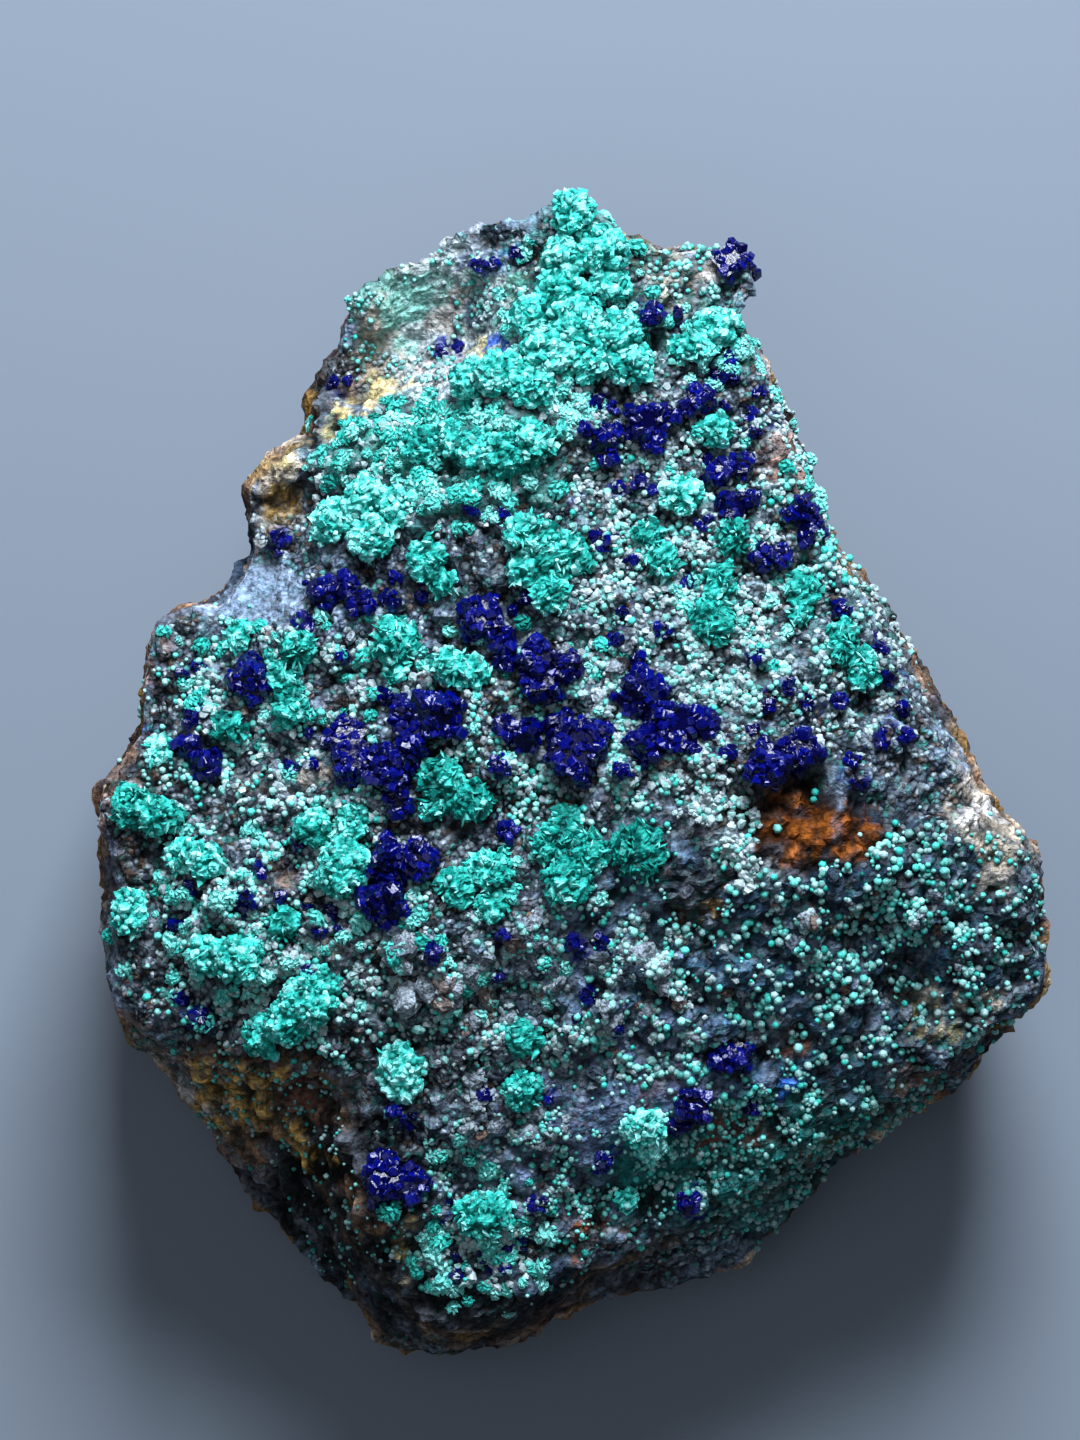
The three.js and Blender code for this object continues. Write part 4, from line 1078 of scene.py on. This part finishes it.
def azurite_blocks(rng, places, radius):
    """Blocky crystals at the places, in three shapes."""
    parts = []
    for start, shape in enumerate(BLOCKS):
        own = slice(start, None, len(BLOCKS))
        count = len(places[own])
        sizes = radius[own, None] * rng.uniform(*BLOCK_STRETCH, (count, 3))
        tint = mix(colour("azurite_deep"), colour("azurite_blue"), rng.random(count))
        parts.append(joined_copies(shape, places[own], random_turns(rng, count), sizes, tint, tint))
    return combined(parts)


def make_azurite(rng, node):
    """A cluster of blocky crystals round the node's own core."""
    mesh = mesh_from(node, copy_of(node))
    surface = triangles_of(mesh)
    points, _ = points_of(mesh)
    bpy.data.meshes.remove(mesh)
    middle = points.mean(0)
    dark = np.tile(colour("azurite_deep"), (len(points), 1))
    core = (middle + (points - middle) * CORE_SHARE, surface["faces"], dark)
    open_sides = (surface["normal"][:, 2] > AZURITE_SLOPE) * 1.0
    count = int((surface["area"] * open_sides).sum() * BLOCKS_PER_AREA)
    places, outward = spots_on(rng, surface, open_sides, count)
    radius = rng.uniform(*BLOCK_RADIUS, count)
    blocks = azurite_blocks(rng, places - outward * radius[:, None] * BLOCK_SINK, radius)
    return piece_from(node, combined([core, blocks]), smooth=False)


def tree_of(pieces):
    """A search tree of several surfaces, for finding what lies under or over a place."""
    corners, faces = [], []
    for piece in pieces:
        surface = triangles_of(piece.data)
        points, _ = points_of(piece.data)
        faces.extend((surface["faces"] + len(corners)).tolist())
        corners.extend(points.tolist())
    return BVHTree.FromPolygons(corners, faces)


def make_small_azurites(rng, ground):
    """The single azurites, each a few crystals heaped on the rock."""
    places, radius = [], []
    for x, y, reach in SMALL_AZURITES:
        for _ in range(int(HEAP_LEAST + HEAP_PER_AREA * reach * reach)):
            angle = rng.uniform(0, 2 * math.pi)
            away = reach * HEAP_REACH * math.sqrt(rng.random())
            across = x + FACE_MIDDLE[0] + away * math.cos(angle)
            along = y + FACE_MIDDLE[1] + away * math.sin(angle)
            hit = ground.ray_cast(Vector((across, along, ABOVE_ALL)), DOWN)[0]
            if hit is None:
                continue
            places.append((hit.x, hit.y, hit.z + HEAP_HEIGHT * reach * (1 - (away / reach) ** 2)))
            radius.append(rng.uniform(*HEAP_CRYSTAL) * (HEAP_SCALE[0] + HEAP_SCALE[1] * reach))
    return piece_from("azurite_small", azurite_blocks(rng, np.array(places), np.array(radius)), smooth=False)


def growing_ground(rock):
    """The rock's triangles, each with how readily small growths settle there."""
    surface = triangles_of(rock.data)
    upward = surface["normal"][:, 2] > GROWTH_SLOPE
    high = surface["middle"][:, 2] > GROWTH_LOWEST
    surface["open"] = upward * high * growing_share(surface["middle"])
    return surface


def growth_spots(rng, surface, cover, oval, count):
    """Places on the rock within an oval, not under a larger growth, thinning out towards its rim."""
    weight = smooth_step(*GROWTH_EDGE, oval_distance(surface["middle"], oval)) * surface["open"]
    places, outward = spots_on(rng, surface, weight, count)
    free = [cover.ray_cast(Vector(place) + COVER_GAP * UP, UP)[0] is None for place in places.tolist()]
    return places[free], outward[free]


def make_scatter(rng, surface, cover):
    """The beads, grains, small tufts and lumps of stone, joined by kind and by half of the face."""
    parts = {(kind, half): [] for kind in GROWTH_MAKERS for half in ("upper", "lower")}
    for kind, *oval, count, smallest, largest, tone in SCATTER:
        places, outward = growth_spots(rng, surface, cover, oval, count)
        radius = smallest + (largest - smallest) * rng.random(len(places)) ** SMALL_ONES
        tones = np.clip(tone + GROWTH_TONE_CHANCE * rng.normal(size=len(places)), 0, 1)
        half = "upper" if oval[1] > 0 else "lower"
        parts[kind, half].append(GROWTH_MAKERS[kind](rng, places, outward, radius, tones))
    return {key: combined(found) for key, found in parts.items()}


def stretched(rng, kind, radius):
    """Each copy's three half sizes, a little uneven, and flat where its kind is flat."""
    least, most, _, flatness = GROWTH_FORMS[kind]
    return radius[:, None] * rng.uniform(least, most, (len(radius), 3)) * (1, 1, flatness)


def seated(kind, places, outward, radius):
    """Each copy's middle, out of the rock or into it as its kind asks."""
    return places + outward * radius[:, None] * GROWTH_FORMS[kind][2]


def beads_at(rng, places, outward, radius, tones):
    """Round malachite beads, some of them chalky, with painted shade at the foot and a painted highlight on
    the top.
    """
    count = len(radius)
    sizes = stretched(rng, "bead", radius)
    pale = rng.random(count)
    # Painted shade at each bead's foot and painted light on its top; the chalk is real, and whiter on top as
    # a painted highlight
    low = malachite_colour(rng.uniform(*BEAD_ROOT, count), tones)
    low = mix(low, colour("grain_mint"), BEAD_CHALK_ROOT * pale)
    high = malachite_colour(rng.uniform(*BEAD_TIP, count), tones)
    high = mix(high, colour("grain_white"), BEAD_CHALK_AND_HIGHLIGHT_TIP * pale ** BEAD_CHALK_FALL)
    turns = turns_along(rng, outward + (0, 0, BEAD_UPWARD))
    return joined_copies(BEAD, seated("bead", places, outward, radius), turns, sizes, low, high)


def grains_at(rng, places, outward, radius, tones):
    """Pale grains, some of them minty, with painted shade at their feet."""
    count = len(radius)
    pale = np.clip(tones + GRAIN_CHANCE * rng.normal(size=count), 0, 1)
    minty = np.where(rng.random(count) < MINTY_GRAINS, rng.random(count), FAINT_MINT)
    tint = mix(mix(colour("grain_grey"), colour("grain_white"), pale), colour("grain_mint"), minty)
    sizes = stretched(rng, "grain", radius)
    stand = seated("grain", places, outward, radius)
    return joined_copies(GRAIN, stand, random_turns(rng, count), sizes, tint * GRAIN_FOOT_SHADE, tint)


def tufts_at(rng, places, outward, radius, tones):
    """Small tufts of malachite blades, in three shapes, with painted shade low down and painted light on top.
    """
    parts = []
    stand = seated("tuft", places, outward, radius)
    for start, shape in enumerate(TUFTS):
        own = slice(start, None, len(TUFTS))
        sizes = stretched(rng, "tuft", radius[own])
        low = malachite_colour(np.full(len(sizes), TUFT_ROOT), tones[own])
        high = malachite_colour(np.full(len(sizes), TUFT_TIP), tones[own])
        turns = turns_along(rng, outward[own] + (0, 0, TUFT_UPWARD))
        parts.append(joined_copies(shape, stand[own], turns, sizes, low, high))
    return combined(parts)


def lumps_at(rng, places, outward, radius, tones):
    """Lumps of bare stone, grey to brown, with painted shade at their feet."""
    count = len(radius)
    pale = np.clip(tones + LUMP_CHANCE * rng.normal(size=count), 0, 1)
    tint = mix(colour("lump_dark"), colour("lump_pale"), pale)
    tint = mix(tint, colour("brown"), LUMP_BROWN * (rng.random(count) < BROWN_LUMPS))
    sizes = stretched(rng, "lump", radius)
    turns = turns_along(rng, outward + LUMP_LEAN * rng.normal(size=(count, 3)))
    stand = seated("lump", places, outward, radius)
    return joined_copies(LUMP, stand, turns, sizes, tint * LUMP_FOOT_SHADE, tint)


GROWTH_MAKERS = {"bead": beads_at, "grain": grains_at, "tuft": tufts_at, "lump": lumps_at}


def add_node(material, kind, values=(), **settings):
    """A new node of a material, with its settings, and then the values of its inputs by name."""
    node = material.node_tree.nodes.new(kind)
    for name, value in settings.items():
        setattr(node, name, value)
    for name, value in dict(values).items():
        node.inputs[name].default_value = value
    return node


def link(material, source, target):
    material.node_tree.links.new(source, target)


def shader_of(material):
    return material.node_tree.nodes["Principled BSDF"]


def pattern_on(material, kind, width, values=()):
    """A pattern of that width in millimetres, fixed to the piece."""
    place = add_node(material, "ShaderNodeTexCoord")
    pattern = add_node(material, kind, {"Scale": 1 / (width * MM), **dict(values)})
    link(material, place.outputs["Object"], pattern.inputs["Vector"])
    return pattern


def stone_finish(name, roughness, gloss, grain, contrast, bump, bump_size):
    """A stone finish: the piece's own tint, mottled at a small grain, with a fine rough bump."""
    material = bpy.data.materials.new(name)
    material.use_nodes = True
    shader_of(material).inputs["Roughness"].default_value = roughness
    shader_of(material).inputs["Specular IOR Level"].default_value = gloss
    mottle(material, grain, contrast)
    roughen(material, bump, bump_size)
    return material


def mottle(material, grain, contrast):
    """Gives the stone its own tint, lighter and darker at a small grain."""
    tint = add_node(material, "ShaderNodeAttribute", attribute_name="tint")
    pattern = pattern_on(material, "ShaderNodeTexNoise", grain, {"Detail": MOTTLE_DETAIL})
    shade = add_node(material, "ShaderNodeMapRange", {
        "From Min": MOTTLE_RANGE[0], "From Max": MOTTLE_RANGE[1],
        "To Min": 1 - contrast, "To Max": 1 + contrast,
    })
    product = add_node(material, "ShaderNodeMix", {"Factor": 1}, data_type="RGBA", blend_type="MULTIPLY")
    link(material, pattern.outputs["Fac"], shade.inputs["Value"])
    link(material, tint.outputs["Color"], product.inputs["A"])
    link(material, shade.outputs["Result"], product.inputs["B"])
    link(material, product.outputs["Result"], shader_of(material).inputs["Base Color"])


def roughen(material, strength, width):
    """A fine rough bump all over the stone."""
    pattern = pattern_on(material, "ShaderNodeTexNoise", width, {"Detail": BUMP_DETAIL})
    bumps = add_node(material, "ShaderNodeBump", {"Strength": strength, "Distance": width * MM})
    link(material, pattern.outputs["Fac"], bumps.inputs["Height"])
    link(material, bumps.outputs["Normal"], shader_of(material).inputs["Normal"])


def add_crust(material):
    """Covers the stone with fine grains of mixed colours, and painted shade in the gaps between them, where
    its crust share asks for them.
    """
    share = add_node(material, "ShaderNodeAttribute", attribute_name="crust").outputs["Fac"]
    grains = pattern_on(material, "ShaderNodeTexVoronoi", CRUST_GRAIN)
    coat(material, grains, share)
    paint_gap_shade(material, grains, share)
    bumps = add_node(material, "ShaderNodeBump", {"Distance": CRUST_GRAIN * MM}, invert=True)
    normal = shader_of(material).inputs["Normal"]
    link(material, share, bumps.inputs["Strength"])
    link(material, grains.outputs["Distance"], bumps.inputs["Height"])
    link(material, normal.links[0].from_socket, bumps.inputs["Normal"])
    link(material, bumps.outputs["Normal"], normal)


def mix_over(material, share, covering=None, values=()):
    """Lays a colour over the stone's own by a share: from a node, or the one given for input B."""
    base = shader_of(material).inputs["Base Color"]
    coated = add_node(material, "ShaderNodeMix", values, data_type="RGBA")
    link(material, share, coated.inputs["Factor"])
    link(material, base.links[0].from_socket, coated.inputs["A"])
    if covering:
        link(material, covering, coated.inputs["B"])
    link(material, coated.outputs["Result"], base)


def coat(material, grains, share):
    """Gives each grain of the crust one of the crust's colours."""
    picked = add_node(material, "ShaderNodeSeparateColor")
    kinds = add_node(material, "ShaderNodeValToRGB")
    ramp = kinds.color_ramp
    ramp.interpolation = "CONSTANT"
    ramp.elements.remove(ramp.elements[1])
    ramp.elements[0].color = (*linear(*CRUST_KINDS[0][1]), 1)
    for start, tone in CRUST_KINDS[1:]:
        ramp.elements.new(start).color = (*linear(*tone), 1)
    cover = add_node(material, "ShaderNodeMath", operation="MULTIPLY")
    cover.inputs[1].default_value = CRUST_COVER
    link(material, grains.outputs["Color"], picked.inputs["Color"])
    link(material, picked.outputs["Red"], kinds.inputs["Fac"])
    link(material, share, cover.inputs[0])
    mix_over(material, cover.outputs["Value"], kinds.outputs["Color"])


def paint_gap_shade(material, grains, share):
    """Paints shade into the gaps between the grains of the crust."""
    gaps = add_node(material, "ShaderNodeMapRange", {
        "From Min": CRUST_GAP_SHADE[0], "From Max": CRUST_GAP_SHADE[1], "To Min": 0, "To Max": CRUST_GAP_SHADE_DEPTH,
    })
    link(material, grains.outputs["Distance"], gaps.inputs["Value"])
    depth = add_node(material, "ShaderNodeMath", operation="MULTIPLY")
    link(material, gaps.outputs["Result"], depth.inputs[0])
    link(material, share, depth.inputs[1])
    mix_over(material, depth.outputs["Value"], values={"B": CRUST_GAP_SHADE_COLOUR})


def finish_piece(piece, material, slot, *nodes):
    """Gives a piece its finish, and its place in the frame."""
    piece.data.materials.clear()
    piece.data.materials.append(material)
    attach(piece, "root")
    if nodes:
        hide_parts(*nodes)


def make_camera():
    data = bpy.data.cameras.new("camera")
    data.sensor_fit = "VERTICAL"
    data.sensor_height = SENSOR_HEIGHT
    data.lens = SENSOR_HEIGHT * CAMERA_DISTANCE / FRAME_HEIGHT
    data.clip_start = CAMERA_NEAREST * MM
    camera = placed_in_scene("camera", data)
    camera.location = Vector((*CAMERA_CENTRE, FRAME_DEPTH + CAMERA_DISTANCE)) * MM
    bpy.context.scene.camera = camera


def make_light(name, place, size, power):
    """A square light, turned to the specimen."""
    data = bpy.data.lights.new(name, "AREA")
    data.shape = "SQUARE"
    data.size = size * MM
    data.energy = power
    data.color = DAYLIGHT
    lamp = placed_in_scene(name, data)
    lamp.location = Vector(place) * MM
    aim = Vector(LIGHT_AIM) * MM - lamp.location
    lamp.rotation_euler = aim.to_track_quat("-Z", "Y").to_euler()


def make_floor():
    """A plain pale floor."""
    form = bmesh.new()
    bmesh.ops.create_grid(form, x_segments=1, y_segments=1, size=FLOOR_REACH * MM)
    floor = placed_in_scene("floor", mesh_from("floor", form))
    pale = bpy.data.materials.new("pale floor")
    pale.use_nodes = True
    shader_of(pale).inputs["Base Color"].default_value = FLOOR_COLOUR
    shader_of(pale).inputs["Roughness"].default_value = FLOOR_ROUGHNESS
    shader_of(pale).inputs["Specular IOR Level"].default_value = FLOOR_GLOSS
    floor.data.materials.append(pale)


def make_room():
    """Faint light from all sides."""
    world = bpy.data.worlds.new("soft room")
    world.use_nodes = True
    world.node_tree.nodes["Background"].inputs["Color"].default_value = ROOM_COLOUR
    world.node_tree.nodes["Background"].inputs["Strength"].default_value = ROOM_LIGHT
    bpy.context.scene.world = world
    bpy.context.scene.view_settings.view_transform = "Standard"


noise.seed_set(SEED)
rng = np.random.default_rng(SEED)
finishes = {name: stone_finish(name, *values) for name, values in FINISHES.items()}
add_crust(finishes["rock"])

rock = make_rock()
finish_piece(rock, finishes["rock"], "rock", "rock_matrix")
growths = []
for name, tone in MALACHITE_TONES.items():
    node = "malachite_" + name
    piece = make_malachite(rng, node, tone, BIT_SHARES.get(name, LEAFY))
    finish_piece(piece, finishes["malachite"], "malachite", node)
    growths.append(piece)
for node in sorted(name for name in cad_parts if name.startswith("azurite_")):
    piece = make_azurite(rng, node)
    finish_piece(piece, finishes["azurite"], "azurite", node)
    growths.append(piece)

finish_piece(make_small_azurites(rng, tree_of([rock])), finishes["azurite"], "azurite")
for (kind, half), part in make_scatter(rng, growing_ground(rock), tree_of(growths)).items():
    name, smooth, finish, slot = GROWTH_PIECES[kind]
    finish_piece(piece_from(f"{name}_{half}", part, smooth), finishes[finish], slot)

make_camera()
make_floor()
for name, place, size, power in LIGHTS:
    make_light(name, place, size, power)
make_room()
